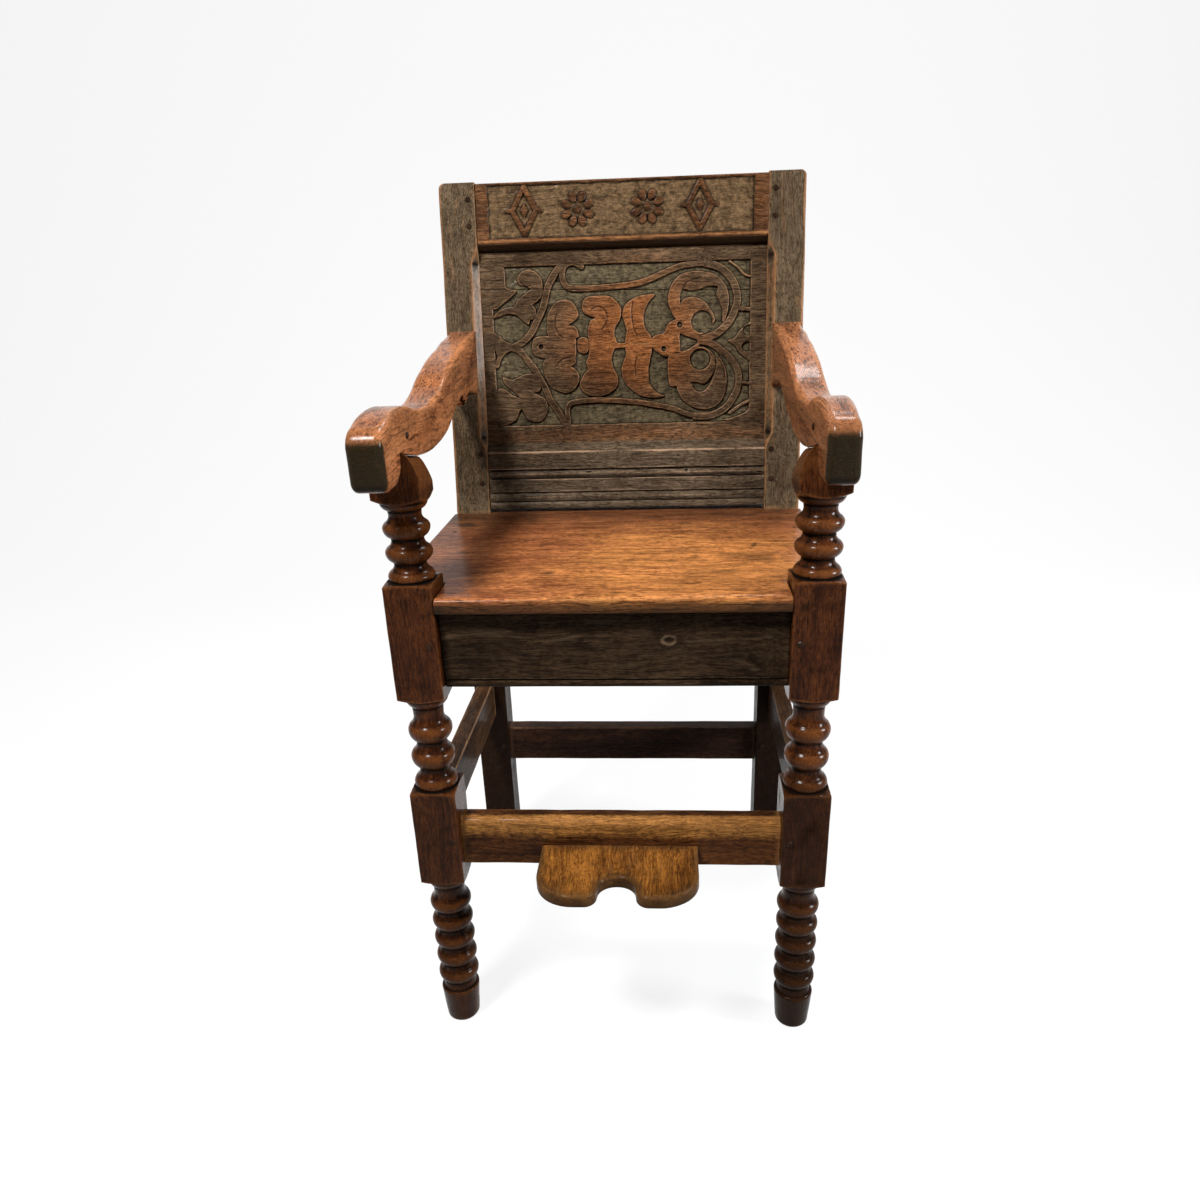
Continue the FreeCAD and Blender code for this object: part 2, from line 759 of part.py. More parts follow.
def front_post(side, word):
    """A square billet, turned between its joints and cut for rails, stretchers and arm."""
    body = doc.addObject("PartDesign::Body", f"front_post_{word}")
    body.Label = body.Name
    body.AllowCompound = True
    middle = post_middle * side
    put(body, (middle, post / 2 - middle_depth, 0))
    pieces.append(body)
    half = post / 2
    billet = sketch_on(body, "XY_Plane", f"billet_{word}")
    draw(billet, rectangle((-half, -half), (half, half)))
    pad(body, billet, arm_seat)
    turn_between(body, f"upper_turning_{word}", seat_block_top, arm_block_foot, UPPER_RINGS, True)
    turn_between(body, f"middle_turning_{word}", low_block_top, seat_block_foot, MIDDLE_RINGS, False)
    turn_foot(body, f"foot_turning_{word}")
    # The inner top corner of the arm block is sawn to a round
    across = size("arm_block_round_across")
    up = size("arm_block_round_up")
    inner = -half * side
    outside = inner - overrun * side
    rounding = sketch_on(body, "XZ_Plane", f"block_round_{word}")
    draw(
        rounding,
        [
            ("corner", inner, arm_seat - up),
            ("bend", inner + across * side * 0.23, arm_seat - up * 0.45),
            ("corner", inner + across * side, arm_seat),
            ("corner", inner + across * side, arm_seat + overrun),
            ("corner", outside, arm_seat + overrun),
            ("corner", outside, arm_seat - up),
        ],
    )
    pocket_through(body, rounding, post + overrun * 2)
    # The top falls towards the back to meet the arm
    fall = size("arm_seat_fall")
    slope = sketch_on(body, "YZ_Plane", f"arm_seat_{word}")
    draw(
        slope,
        [
            ("corner", -half, arm_seat),
            ("corner", half, arm_seat - fall),
            ("corner", half + overrun, arm_seat - fall),
            ("corner", half + overrun, arm_seat + overrun),
            ("corner", -half, arm_seat + overrun),
        ],
    )
    pocket_through(body, slope, post + overrun * 2)
    # From here on, places are taken back to the chair's frame by this offset
    offset = (middle, half, 0)

    def here(spot):
        return tuple(part - shift for part, shift in zip(spot, offset))

    low_x, high_x = sided(side, arm_tenon_middle - arm_tenon_half, arm_tenon_middle + arm_tenon_half)
    depth = size("arm_tenon_depth")
    block(
        body,
        f"arm_tenon_{word}",
        here((low_x, half - depth / 2, arm_seat - fall - overrun)),
        here((high_x, half + depth / 2, arm_seat + size("arm_tenon_height"))),
    )
    cut_front_post(body, side, word, here)
    return body


def cut_front_post(body, side, word, here):
    """The mortises and peg holes of a front post."""
    rails = (
        ("front_rail", rail_foot, rail_top),
        (
            "front_stretcher",
            front_stretcher_foot,
            front_stretcher_foot + size("front_stretcher_height"),
        ),
    )
    depth = tenon_length + spare
    for name, foot, top in rails:
        low_x, high_x = sided(side, post_inner, post_inner + depth)
        low = (low_x, front_rail_front + cheek - play, foot + tenon_edge - play)
        high = (high_x, front_rail_front + cheek + tenon + play, top - tenon_edge + play)
        block(body, f"{name}_mortise_{word}", here(low), here(high), cut=True)
    sides = (
        ("side_rail", rail_foot, rail_top),
        ("side_stretcher", side_stretcher_foot, side_stretcher_top),
    )
    near_x = side_rail_outer - cheek
    for name, foot, top in sides:
        low_x, high_x = sided(side, near_x - tenon - play, near_x + play)
        low = (low_x, post - depth, foot + tenon_edge - play)
        high = (high_x, post, top - tenon_edge + play)
        block(body, f"{name}_mortise_{word}", here(low), here(high), cut=True)
    for name, high in (("front_rail", front_rail_peg), ("front_stretcher", front_stretcher_peg)):
        at = ((post_inner + peg_in) * side, 0, high)
        bore(body, f"{name}_bore_{word}", here(at), front_peg_length, "back")
    number = 0
    for start, end, back, high in side_rail_peg_places + side_stretcher_peg_places:
        if start is side_peg_from_front:
            number += 1
            at = (start * side, back, high)
            bore(body, f"side_bore_{word}_{number}", here(at), start - end, inward[side])
    at = (arm_inner * side - overrun * side, half_post(), arm_peg_height)
    outward = "right" if side > 0 else "left"
    bore(body, f"arm_bore_{word}", here(at), arm_peg_end - arm_inner + overrun, outward)


def half_post():
    return post / 2


front_post(-1, "left")
front_post(1, "right")


# Rear posts

def rear_post(side, word):
    """A post sawn with a lean above the seat, grooved for the panel and chamfered beside it."""
    body = new_piece(f"rear_post_{word}")
    depth = size("rear_post_depth")
    low_x, high_x = sided(side, rear_inner, rear_half)
    top_front = on_slope(0, 0, slope_length)
    top_back = on_slope(0, depth, slope_length)
    knee = seat_top - depth * (1 - lean_cos) / lean_sin
    outline = sketch_on(body, "YZ_Plane", f"rear_post_outline_{word}", low_x)
    draw(
        outline,
        [
            ("corner", rear_face, 0),
            ("corner", rear_face, seat_top),
            ("corner", top_front[1], top_front[2]),
            ("corner", top_back[1], top_back[2]),
            ("corner", size("frame_depth"), knee),
            ("corner", size("frame_depth"), 0),
        ],
    )
    pad(body, outline, high_x - low_x)
    outer = rear_half * side
    ease(
        body,
        f"worn_top_{word}",
        size("rear_post_top_round"),
        lambda edge: near(edge.CenterOfMass.x, outer)
        and edge.CenterOfMass.z > top_back[2].number,
    )
    groove_foot = size("lower_rail_foot") + tenon_edge
    groove_top = top_rail_top - tenon_edge
    low_x, high_x = sided(side, rear_inner, rear_inner + size("panel_groove_depth"))
    recess = size("panel_recess")
    block(
        body,
        f"panel_groove_{word}",
        (low_x, recess, groove_foot),
        (high_x, recess + size("panel_groove_width"), groove_top),
        cut=True,
        leaning=True,
    )
    stop_chamfer(body, side, word)
    for name, foot, top in (
        ("rear_rail", rail_foot, rail_top),
        (
            "rear_stretcher",
            rear_stretcher_foot,
            rear_stretcher_foot + size("rear_stretcher_height"),
        ),
    ):
        mortise_across(body, f"{name}_mortise_{word}", side, rear_inner, rear_rail_front, foot, top)
    for name, foot, top in (
        ("lower_rail", size("lower_rail_foot"), lower_rail_top),
        ("top_rail", size("top_rail_foot") + size("top_rail_chamfer"), top_rail_top),
    ):
        mortise_across(body, f"{name}_mortise_{word}", side, rear_inner, as_size(0), foot, top, leaning=True)
    for name, foot, top in (
        ("side_rail", rail_foot, rail_top),
        ("side_stretcher", side_stretcher_foot, side_stretcher_top),
    ):
        mortise_back(body, f"{name}_mortise_{word}", side, rear_face, 1, foot, top)
    arm_low = rear_tenon_foot - play
    arm_high = rear_tenon_top + play
    low_x, high_x = sided(
        side, arm_tenon_middle - rear_tenon_half - play, arm_tenon_middle + rear_tenon_half + play
    )
    block(
        body,
        f"arm_mortise_{word}",
        (low_x, rear_face, arm_low),
        (high_x, arm_tenon_back() + spare, arm_high),
        cut=True,
    )
    bore_rear_post(body, side, word)
    return body


def arm_tenon_back():
    """How far back the arm's rear tenon reaches."""
    foot_face = rear_face + (rear_tenon_foot - seat_top) * lean / rise
    return foot_face + size("arm_rear_tenon_length")


def stop_chamfer(body, side, word):
    """The inner front corner beside the panel is bevelled, and the bevel runs out at both ends."""
    leg = size("stop_chamfer")
    taper = size("stop_chamfer_taper")
    foot = size("stop_chamfer_foot")
    head = size("stop_chamfer_head")
    thin = leg / 20
    profiles = []
    for number, (up, cut) in enumerate(
        ((foot, thin), (foot + taper, leg), (head - taper, leg), (head, thin)), start=1
    ):
        profile = body.newObject("Sketcher::SketchObject", f"chamfer_{word}_{number}")
        inner = rear_inner * side
        put(profile, on_slope(0, 0, up), TILT, lean_angle)
        path = [
            ("corner", inner - thin * side, -thin),
            ("corner", inner + cut * side, -thin),
            ("corner", inner + cut * side, 0),
            ("corner", inner, cut),
            ("corner", inner - thin * side, cut),
        ]
        draw(profile, path)
        profiles.append(profile)
    feature = body.newObject("PartDesign::SubtractiveLoft", f"stop_chamfer_{word}")
    feature.Profile = profiles[0]
    feature.Sections = profiles[1:]
    feature.Ruled = True


def bore_rear_post(body, side, word):
    """The peg holes of a rear post."""
    across = (rear_inner + peg_in) * side
    for number, up in enumerate(lower_rail_pegs + top_rail_pegs, start=1):
        bore(body, f"back_bore_{word}_{number}", (across, 0, up), back_peg_length, "back", leaning=True)
    for number, high in enumerate(rear_rail_pegs + (rear_stretcher_peg,), start=1):
        bore(body, f"rear_bore_{word}_{number}", (across, rear_face, high), rear_peg_length, "back")
    number = 0
    for start, end, back, high in side_rail_peg_places + side_stretcher_peg_places:
        if start is side_peg_from_rear:
            number += 1
            bore(body, f"side_bore_{word}_{number}", (start * side, back, high), start - end, inward[side])
    at = (rear_half * side, arm_rear_peg_back, arm_rear_peg_height)
    bore(body, f"arm_bore_{word}", at, rear_half - arm_rear_peg_end, inward[side])


rear_post(-1, "left")
rear_post(1, "right")


# Rails and stretchers that run across

def bore_rail_ends(body, name, inner, front, heights):
    """The peg holes through both tenons of a rail that runs across."""
    for side, word in ((-1, "left"), (1, "right")):
        for number, high in enumerate(heights, start=1):
            at = ((inner + peg_in) * side, front, high)
            bore(body, f"{name}_bore_{word}_{number}", at, rail, "back")


def front_rail_profile(foot, top):
    """A rail's section with a bead scratched along its lower edge."""
    bead = size("bead_height")
    dip = size("bead_groove")
    front = front_rail_front
    back = front + rail
    return [
        ("corner", back, foot),
        ("corner", back, top),
        ("corner", front, top),
        ("corner", front, foot + bead + dip),
        ("corner", front + dip * 0.7, foot + bead),
        ("bend", front + dip * 0.1, foot + bead * 0.5),
        ("corner", front + dip * 0.7, foot),
    ]


front_rail = new_piece("front_seat_rail")
profile = sketch_on(front_rail, "YZ_Plane", "front_rail_profile")
draw(profile, front_rail_profile(rail_foot, rail_top))
pad(front_rail, profile, post_inner * 2, both_ways=True)
tenon_pair(front_rail, "front_rail", tenon_length, post_inner, front_rail_front, rail_foot, rail_top)
bore_rail_ends(front_rail, "front_rail", post_inner, front_rail_front, (front_rail_peg,))


def plain_rail(name, inner, front, foot, height, peg_heights):
    """A square-edged rail that runs across between two posts."""
    body = new_piece(name)
    block(body, f"{name}_board", (-inner, front, foot), (inner, front + rail, foot + height))
    tenon_pair(body, name, tenon_length, inner, front, foot, foot + height)
    bore_rail_ends(body, name, inner, front, peg_heights)
    return body


plain_rail(
    "rear_seat_rail", rear_inner, rear_rail_front, rail_foot, size("seat_rail_height"), rear_rail_pegs
)
rear_stretcher = plain_rail(
    "rear_stretcher",
    rear_inner,
    rear_rail_front,
    rear_stretcher_foot,
    size("rear_stretcher_height"),
    (rear_stretcher_peg,),
)
front_stretcher = plain_rail(
    "front_stretcher",
    post_inner,
    front_rail_front,
    front_stretcher_foot,
    size("front_stretcher_height"),
    (front_stretcher_peg,),
)

# The footrest's slot and pegs in the front stretcher
tongue_half = size("footrest_tongue_width") / 2
tongue_top = footrest_top - (size("footrest_thickness") - size("footrest_tongue_thickness")) / 2
tongue_foot = tongue_top - size("footrest_tongue_thickness")
tongue_depth = size("footrest_tongue_depth")
footrest_peg_across = size("footrest_peg_spread") / 2
footrest_peg_back = front_rail_front + tongue_depth / 2
footrest_peg_end = footrest_top + spare * 2
footrest_peg_length = footrest_peg_end - front_stretcher_foot
block(
    front_stretcher,
    "footrest_slot",
    (-tongue_half - play, front_rail_front, tongue_foot - play),
    (tongue_half + play, front_rail_front + tongue_depth + spare, tongue_top + play),
    cut=True,
)
for side in (-1, 1):
    bore(
        front_stretcher,
        "footrest_bore_left" if side < 0 else "footrest_bore_right",
        (footrest_peg_across * side, footrest_peg_back, front_stretcher_foot),
        footrest_peg_length,
        "up",
    )
stretcher_top = front_stretcher_foot + size("front_stretcher_height")
ease(
    front_stretcher,
    "worn_by_feet",
    size("front_stretcher_round"),
    lambda edge: near(edge.CenterOfMass.z, stretcher_top)
    and near(edge.CenterOfMass.y, front_rail_front)
    and edge.Length > post_inner.number,
)


# Rails and stretchers that run from front to back

def side_rail(name, side, foot, height, peg_places):
    """A rail between a front and a rear post, with a tenon and its peg holes at each end."""
    body = new_piece(name)
    low_x, high_x = sided(side, side_rail_inner, side_rail_outer)
    top = foot + height
    block(body, f"{name}_board", (low_x, post, foot), (high_x, rear_face, top))
    near_x = side_rail_outer - cheek
    low_x, high_x = sided(side, near_x - tenon, near_x)
    ends = (("front", post - tenon_length, post), ("rear", rear_face, rear_face + tenon_length))
    for word, start, end in ends:
        low = (low_x, start, foot + tenon_edge)
        high = (high_x, end, top - tenon_edge)
        block(body, f"{name}_{word}_tenon", low, high)
    for number, (start, end, back, high) in enumerate(peg_places, start=1):
        at = (side_rail_outer * side, back, high)
        bore(body, f"{name}_bore_{number}", at, rail, inward[side])
    return body


side_seat_rails = {}
for side, word in ((-1, "left"), (1, "right")):
    side_seat_rails[side] = side_rail(
        f"side_seat_rail_{word}", side, rail_foot, size("seat_rail_height"), side_rail_peg_places
    )
    side_rail(
        f"side_stretcher_{word}",
        side,
        side_stretcher_foot,
        size("side_stretcher_height"),
        side_stretcher_peg_places,
    )


# The back: lower rail, top rail and panel, in the leaning frame

back_thick = size("back_rail_thickness")
recess = size("panel_recess")
groove_wide = size("panel_groove_width")
in_groove = size("panel_in_groove")
groove_deep = size("panel_groove_depth")

lower_rail = new_piece("lower_back_rail", leaning=True)
foot = size("lower_rail_foot")
tall = size("lower_rail_height")
dip = size("moulding_depth")
first_reed, second_reed = REED_SHARES
bead_low, bead_high = BEAD_SHARES
reed_rest = dip * 0.8
lower_profile = sketch_on(lower_rail, "YZ_Plane", "lower_rail_profile")
draw(
    lower_profile,
    [
        ("corner", back_thick, foot),
        ("corner", back_thick, lower_rail_top),
        ("corner", recess, lower_rail_top),
        ("corner", 0, lower_rail_top - size("lower_rail_bevel")),
        ("corner", 0, foot + tall * UPPER_FLAT_SHARE),
        ("corner", dip, foot + tall * bead_high),
        ("bend", dip * 0.1, foot + tall * (bead_low + bead_high) / 2),
        ("corner", dip, foot + tall * bead_low),
        ("corner", 0, foot + tall * FLAT_TOP_SHARE),
        ("corner", 0, foot + tall * (second_reed + 0.02)),
        ("corner", reed_rest, foot + tall * second_reed),
        ("bend", 0, foot + tall * (first_reed + second_reed) / 2),
        ("corner", reed_rest, foot + tall * first_reed),
        ("bend", 0, foot + tall * first_reed / 2),
        ("corner", reed_rest, foot),
    ],
)
pad(lower_rail, lower_profile, rear_inner * 2, both_ways=True)
tenon_pair(lower_rail, "lower_rail", tenon_length, rear_inner, as_size(0), foot, lower_rail_top)
block(
    lower_rail,
    "lower_rail_groove",
    (-rear_inner - groove_deep, recess, lower_rail_top - groove_deep),
    (rear_inner + groove_deep, recess + groove_wide, lower_rail_top),
    cut=True,
)
bore_rail_ends(lower_rail, "lower_rail", rear_inner, as_size(0), lower_rail_pegs)

top_rail = new_piece("top_rail", leaning=True)
foot = size("top_rail_foot")
chamfer = size("top_rail_chamfer")
top_profile = sketch_on(top_rail, "YZ_Plane", "top_rail_profile")
draw(
    top_profile,
    [
        ("corner", back_thick, foot),
        ("corner", back_thick, top_rail_top),
        ("corner", 0, top_rail_top),
        ("corner", 0, foot + chamfer),
        ("corner", recess, foot),
    ],
)
pad(top_rail, top_profile, rear_inner * 2, both_ways=True)
tenon_pair(top_rail, "top_rail", tenon_length, rear_inner, as_size(0), foot + chamfer, top_rail_top)
block(
    top_rail,
    "top_rail_groove",
    (-rear_inner, recess, foot),
    (rear_inner, recess + groove_wide, foot + groove_deep),
    cut=True,
)
field_half = rear_inner - size("sunk_field_margin")
block(
    top_rail,
    "sunk_field",
    (-field_half, as_size(0), foot + chamfer + size("sunk_field_foot")),
    (field_half, size("sunk_field_depth"), top_rail_top - size("sunk_field_head")),
    cut=True,
)
bore_rail_ends(top_rail, "top_rail", rear_inner, as_size(0), top_rail_pegs)

panel = new_piece("back_panel", leaning=True)
panel_front = recess + size("panel_gap")
panel_half = rear_inner + in_groove
panel_foot = lower_rail_top - in_groove
panel_top = size("top_rail_foot") + in_groove
edge_back = panel_front + size("panel_edge_thickness")
block(panel, "panel_board", (-panel_half, panel_front, panel_foot), (panel_half, edge_back, panel_top))
bevel = size("panel_bevel_width")
outer_face = sketch_on(panel, "XZ_Plane", "panel_bevel_outer", -edge_back)
draw(outer_face, rectangle((-panel_half, panel_foot), (panel_half, panel_top)))
inner_face = sketch_on(panel, "XZ_Plane", "panel_bevel_inner", -(panel_front + size("panel_thickness")))
draw(
    inner_face,
    rectangle(
        (-panel_half + bevel, panel_foot + bevel),
        (panel_half - bevel, panel_top - bevel),
    ),
)
fielding = panel.newObject("PartDesign::AdditiveLoft", "panel_fielding")
fielding.Profile = outer_face
fielding.Sections = [inner_face]
fielding.Ruled = True
carved_half = rear_inner - size("panel_field_margin")
block(
    panel,
    "carved_field",
    (-carved_half, panel_front, lower_rail_top + size("panel_field_foot")),
    (carved_half, panel_front + size("panel_field_depth"), size("top_rail_foot") - size("panel_field_head")),
    cut=True,
)


# Seat boards

gap = size("seat_gap")
seat_half = front_half + size("seat_side_overhang")
joint = rear_face - size("seat_rear_board")
seat_pin = size("seat_pin_diameter")
pin_across = (side_rail_inner + side_rail_outer) / 2
rear_pin = (joint + rear_face) / 2
pin_places = {"front": [joint * share for share in SEAT_PIN_SHARES], "rear": [rear_pin]}


def seat_board(name, path, pins):
    """A seat board sawn to its outline, with the holes for its pins."""
    body = new_piece(name)
    outline = sketch_on(body, "XY_Plane", f"{name}_outline", rail_top)
    draw(outline, path)
    pad(body, outline, size("seat_thickness"))
    for side in (-1, 1):
        for number, back in enumerate(pins, start=1):
            at = (pin_across * side, back, seat_top)
            label = f"{name}_pin_{number}_{side + 1}"
            bore(body, label, at, size("seat_thickness"), "down", diameter=seat_pin)
    return body


notch_in = post_inner - gap
notch_back = post + gap
seat_front = seat_board(
    "seat_board_front",
    [
        ("corner", -notch_in, -size("seat_front_overhang")),
        ("corner", notch_in, -size("seat_front_overhang")),
        ("corner", notch_in, notch_back),
        ("corner", seat_half, notch_back),
        ("corner", seat_half, joint),
        ("corner", -seat_half, joint),
        ("corner", -seat_half, notch_back),
        ("corner", -notch_in, notch_back),
    ],
    pin_places["front"],
)
seat_front_y = -size("seat_front_overhang")
ease(
    seat_front,
    "nosing",
    size("seat_nosing"),
    lambda edge: near(edge.CenterOfMass.y, seat_front_y) and near(edge.CenterOfMass.z, seat_top),
)
ease(
    seat_front,
    "under_nosing",
    size("seat_under_nosing"),
    lambda edge: near(edge.CenterOfMass.y, seat_front_y) and near(edge.CenterOfMass.z, rail_top),
)
tongue_in = rear_inner - gap
tongue_back = rear_rail_front + rail
seat_board(
    "seat_board_rear",
    [
        ("corner", -seat_half, joint),
        ("corner", seat_half, joint),
        ("corner", seat_half, rear_face - gap),
        ("corner", tongue_in, rear_face - gap),
        ("corner", tongue_in, tongue_back),
        ("corner", -tongue_in, tongue_back),
        ("corner", -tongue_in, rear_face - gap),
        ("corner", -seat_half, rear_face - gap),
    ],
    pin_places["rear"],
)
pin_reach = size("seat_pin_length")
for side, body in side_seat_rails.items():
    for number, back in enumerate(pin_places["front"] + pin_places["rear"], start=1):
        at = (pin_across * side, back, rail_top)
        depth = pin_reach - size("seat_thickness") + spare
        bore(body, f"seat_bore_{number}_{side + 1}", at, depth, "down", diameter=seat_pin)


# Arms

clear_depth = rear_face
arm_tall = size("arm_rear_rise")


def slope_back(high):
    """Depth of the rear post's leaning front face at a height."""
    return rear_face + (high - seat_top) * lean / rise


def shared(table, run):
    return [(kind, run * across, arm_seat + arm_tall * up) for kind, across, up in table]


def arm_outline():
    """The arm's side view: hollow top, drooping handgrip and belly."""
    fall = size("arm_seat_fall") / post
    grip = -size("arm_grip_gap")
    seat_end = size("arm_seat_run")
    rear_foot = arm_seat + arm_tall * ARM_REAR_FOOT_SHARE
    path = [("corner", slope_back(arm_seat + arm_tall), arm_seat + arm_tall)]
    path += shared(ARM_TOP_SHARES, clear_depth)
    path += shared(ARM_NOSE_SHARES, size("arm_nose"))
    path += [
        ("corner", grip, arm_seat + arm_tall * ARM_GRIP_BACK_SHARE),
        ("corner", grip, arm_seat - grip * fall),
        ("corner", seat_end, arm_seat - seat_end * fall),
    ]
    path += shared(ARM_BELLY_SHARES, clear_depth)
    path += [("corner", slope_back(rear_foot), rear_foot)]
    return path


def arm(side, word):
    """An arm sawn from a plank, mortised on the front post and tenoned into the rear one."""
    body = new_piece(f"arm_{word}")
    low_x, high_x = sided(side, arm_inner, arm_outer)
    outline = sketch_on(body, "YZ_Plane", f"arm_outline_{word}", low_x)
    draw(outline, arm_outline())
    pad(body, outline, size("arm_thickness"))
    faces = (low_x.number, high_x.number)
    ease(
        body,
        f"worn_arm_{word}",
        size("arm_edge"),
        lambda edge: min(abs(edge.CenterOfMass.x - face) for face in faces) < NEAR
        and worn_arm_edge(edge.CenterOfMass),
        "PartDesign::Chamfer",
    )
    low_x, high_x = sided(side, arm_tenon_middle - rear_tenon_half, arm_tenon_middle + rear_tenon_half)
    block(
        body,
        f"arm_rear_tenon_{word}",
        (low_x, rear_face, rear_tenon_foot),
        (high_x, arm_tenon_back(), rear_tenon_top),
    )
    depth = size("arm_tenon_depth")
    low_x, high_x = sided(
        side, arm_tenon_middle - arm_tenon_half - play, arm_tenon_middle + arm_tenon_half + play
    )
    block(
        body,
        f"arm_mortise_{word}",
        (low_x, post / 2 - depth / 2 - play, arm_seat - overrun * 3),
        (high_x, post / 2 + depth / 2 + play, arm_seat + size("arm_tenon_height") + spare),
        cut=True,
    )
    outward = "right" if side > 0 else "left"
    at = (arm_inner * side, post / 2, arm_peg_height)
    bore(body, f"front_bore_{word}", at, arm_peg_end - arm_inner, outward)
    at = (arm_outer * side, arm_rear_peg_back, arm_rear_peg_height)
    bore(body, f"rear_bore_{word}", at, size("arm_thickness"), inward[side])
    return body


def worn_arm_edge(middle):
    """Edges of the arm that hands have rounded: its top and its handgrip."""
    on_top = middle.z > arm_seat.number + arm_tall.number * 0.3 and middle.y < slope_back(arm_seat).number
    on_grip = middle.y < -size("arm_grip_gap").number - 1
    return on_top or on_grip


arm(-1, "left")
arm(1, "right")


# Footrest

footrest = new_piece("footrest")
rest_half = size("footrest_width") / 2
lobe = size("footrest_lobe")
tip = front_reach
straight = tip + lobe
notch_half = size("footrest_notch_width") / 2
notch_top = tip + size("footrest_notch_depth")
lip = tip + lobe * 0.32
rest_foot = footrest_top - size("footrest_thickness")
outline = sketch_on(footrest, "XY_Plane", "footrest_outline", rest_foot)
draw(
    outline,
    [
        ("corner", -rest_half, front_rail_front),
        ("corner", -rest_half, straight),
        ("bend", -rest_half + lobe * 0.293, tip + lobe * 0.293),
        ("corner", -rest_half + lobe, tip),
        ("bend", -notch_half - lobe * 0.2, tip + lobe * 0.05),
        ("corner", -notch_half - lobe * 0.03, lip),
        ("corner", -notch_half, notch_top - notch_half * 0.7),
        ("bend", 0, notch_top),
        ("corner", notch_half, notch_top - notch_half * 0.7),
        ("corner", notch_half + lobe * 0.03, lip),
        ("bend", notch_half + lobe * 0.2, tip + lobe * 0.05),
        ("corner", rest_half - lobe, tip),
        ("bend", rest_half - lobe * 0.293, tip + lobe * 0.293),
        ("corner", rest_half, straight),
        ("corner", rest_half, front_rail_front),
    ],
)
pad(footrest, outline, size("footrest_thickness"))
ease(
    footrest,
    "worn_footrest",
    size("footrest_edge"),
    lambda edge: near(edge.CenterOfMass.z, footrest_top)
    and edge.CenterOfMass.y < (front_rail_front - spare).number,
)
block(
    footrest,
    "footrest_tongue",
    (-tongue_half, front_rail_front, tongue_foot),
    (tongue_half, front_rail_front + tongue_depth, tongue_top),
)
for side in (-1, 1):
    bore(
        footrest,
        "footrest_tongue_bore_left" if side < 0 else "footrest_tongue_bore_right",
        (footrest_peg_across * side, footrest_peg_back, tongue_foot),
        size("footrest_tongue_thickness"),
        "up",
    )


# Pegs, one group for each kind of joint

def start_face(value):
    return value + proud


def across_pegs(name, inner, front, length, heights, leaning=False):
    """Pegs driven from the front through the two ends of a rail."""
    body = new_piece(name, leaning=leaning)
    for side in (-1, 1):
        for number, high in enumerate(heights, start=1):
            at = ((inner + peg_in) * side, front - proud, high)
            peg(body, f"{name}_{number}_{side + 1}", at, length + proud, "back")
    bevel_heads(body, name)
    return body


def side_driven_pegs(name, places):
    """Pegs driven from the chair's two sides towards its middle."""
    body = new_piece(name)
    for side in (-1, 1):
        for number, (start, end, back, high) in enumerate(places, start=1):
            at = ((start + proud) * side, back, high)
            peg(body, f"{name}_{number}_{side + 1}", at, start + proud - end, inward[side])
    bevel_heads(body, name)
    return body


def bevel_heads(body, name):
    """Whittle both ends of every peg in a group."""
    longest = size("peg_diameter").number
    ease(body, f"{name}_ends", size("peg_edge"), lambda edge: edge.Length < longest, "PartDesign::Chamfer")


across_pegs("front_seat_rail_pegs", post_inner, as_size(0), front_peg_length, (front_rail_peg,))
across_pegs("front_stretcher_pegs", post_inner, as_size(0), front_peg_length, (front_stretcher_peg,))
across_pegs("rear_seat_rail_pegs", rear_inner, rear_face, rear_peg_length, rear_rail_pegs)
across_pegs("rear_stretcher_pegs", rear_inner, rear_face, rear_peg_length, (rear_stretcher_peg,))
across_pegs("lower_back_rail_pegs", rear_inner, as_size(0), back_peg_length, lower_rail_pegs, leaning=True)
across_pegs("top_rail_pegs", rear_inner, as_size(0), back_peg_length, top_rail_pegs, leaning=True)
side_driven_pegs("side_seat_rail_pegs", side_rail_peg_places)
side_driven_pegs("side_stretcher_pegs", side_stretcher_peg_places)
side_driven_pegs("arm_rear_pegs", [(rear_half, arm_rear_peg_end, arm_rear_peg_back, arm_rear_peg_height)])

arm_front_pegs = new_piece("arm_front_pegs")
for side, word in ((-1, "left"), (1, "right")):
    start = (arm_inner - proud) * side
    way = "right" if side > 0 else "left"
    at = (start, post / 2, arm_peg_height)
    peg(arm_front_pegs, f"arm_front_peg_{word}", at, arm_peg_end - arm_inner + proud, way)
bevel_heads(arm_front_pegs, "arm_front_pegs")

footrest_pegs = new_piece("footrest_pegs")
for side, word in ((-1, "left"), (1, "right")):
    at = (footrest_peg_across * side, footrest_peg_back, front_stretcher_foot - proud)
    peg(footrest_pegs, f"footrest_peg_{word}", at, footrest_peg_length + proud, "up")
bevel_heads(footrest_pegs, "footrest_pegs")

seat_pins = new_piece("seat_pins")
for side, word in ((-1, "left"), (1, "right")):
    for number, back in enumerate(pin_places["front"] + pin_places["rear"], start=1):
        at = (pin_across * side, back, seat_top)
        peg(seat_pins, f"seat_pin_{word}_{number}", at, pin_reach, "down", diameter=seat_pin)


# Check every piece and write it

doc.recompute()
for thing in doc.Objects:
    if "Invalid" in thing.State or "Error" in thing.State:
        raise RuntimeError(f"{thing.Name} is {thing.State}")
os.makedirs("parts", exist_ok=True)
for piece in pieces:
    shape = piece.Shape
    if shape.isNull() or not shape.isValid():
        raise RuntimeError(f"{piece.Label} has no valid shape")
    shape.exportStep(f"parts/{piece.Label}.step")
    solids = len(shape.Solids)
    print(f"{piece.Label}: {solids} solid(s), {shape.Volume / 1000:.1f} cubic centimetres")
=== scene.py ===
# %% [markdown]
# # A child's high chair of the wainscot kind, dressed in old oak
#
# The chair's joints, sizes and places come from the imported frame. This script lays the
# worn surface over it: rounded edges, carving, moulding, turning and the oak itself.
# Every piece is modelled at its own place in the frame and stands for one node of it.

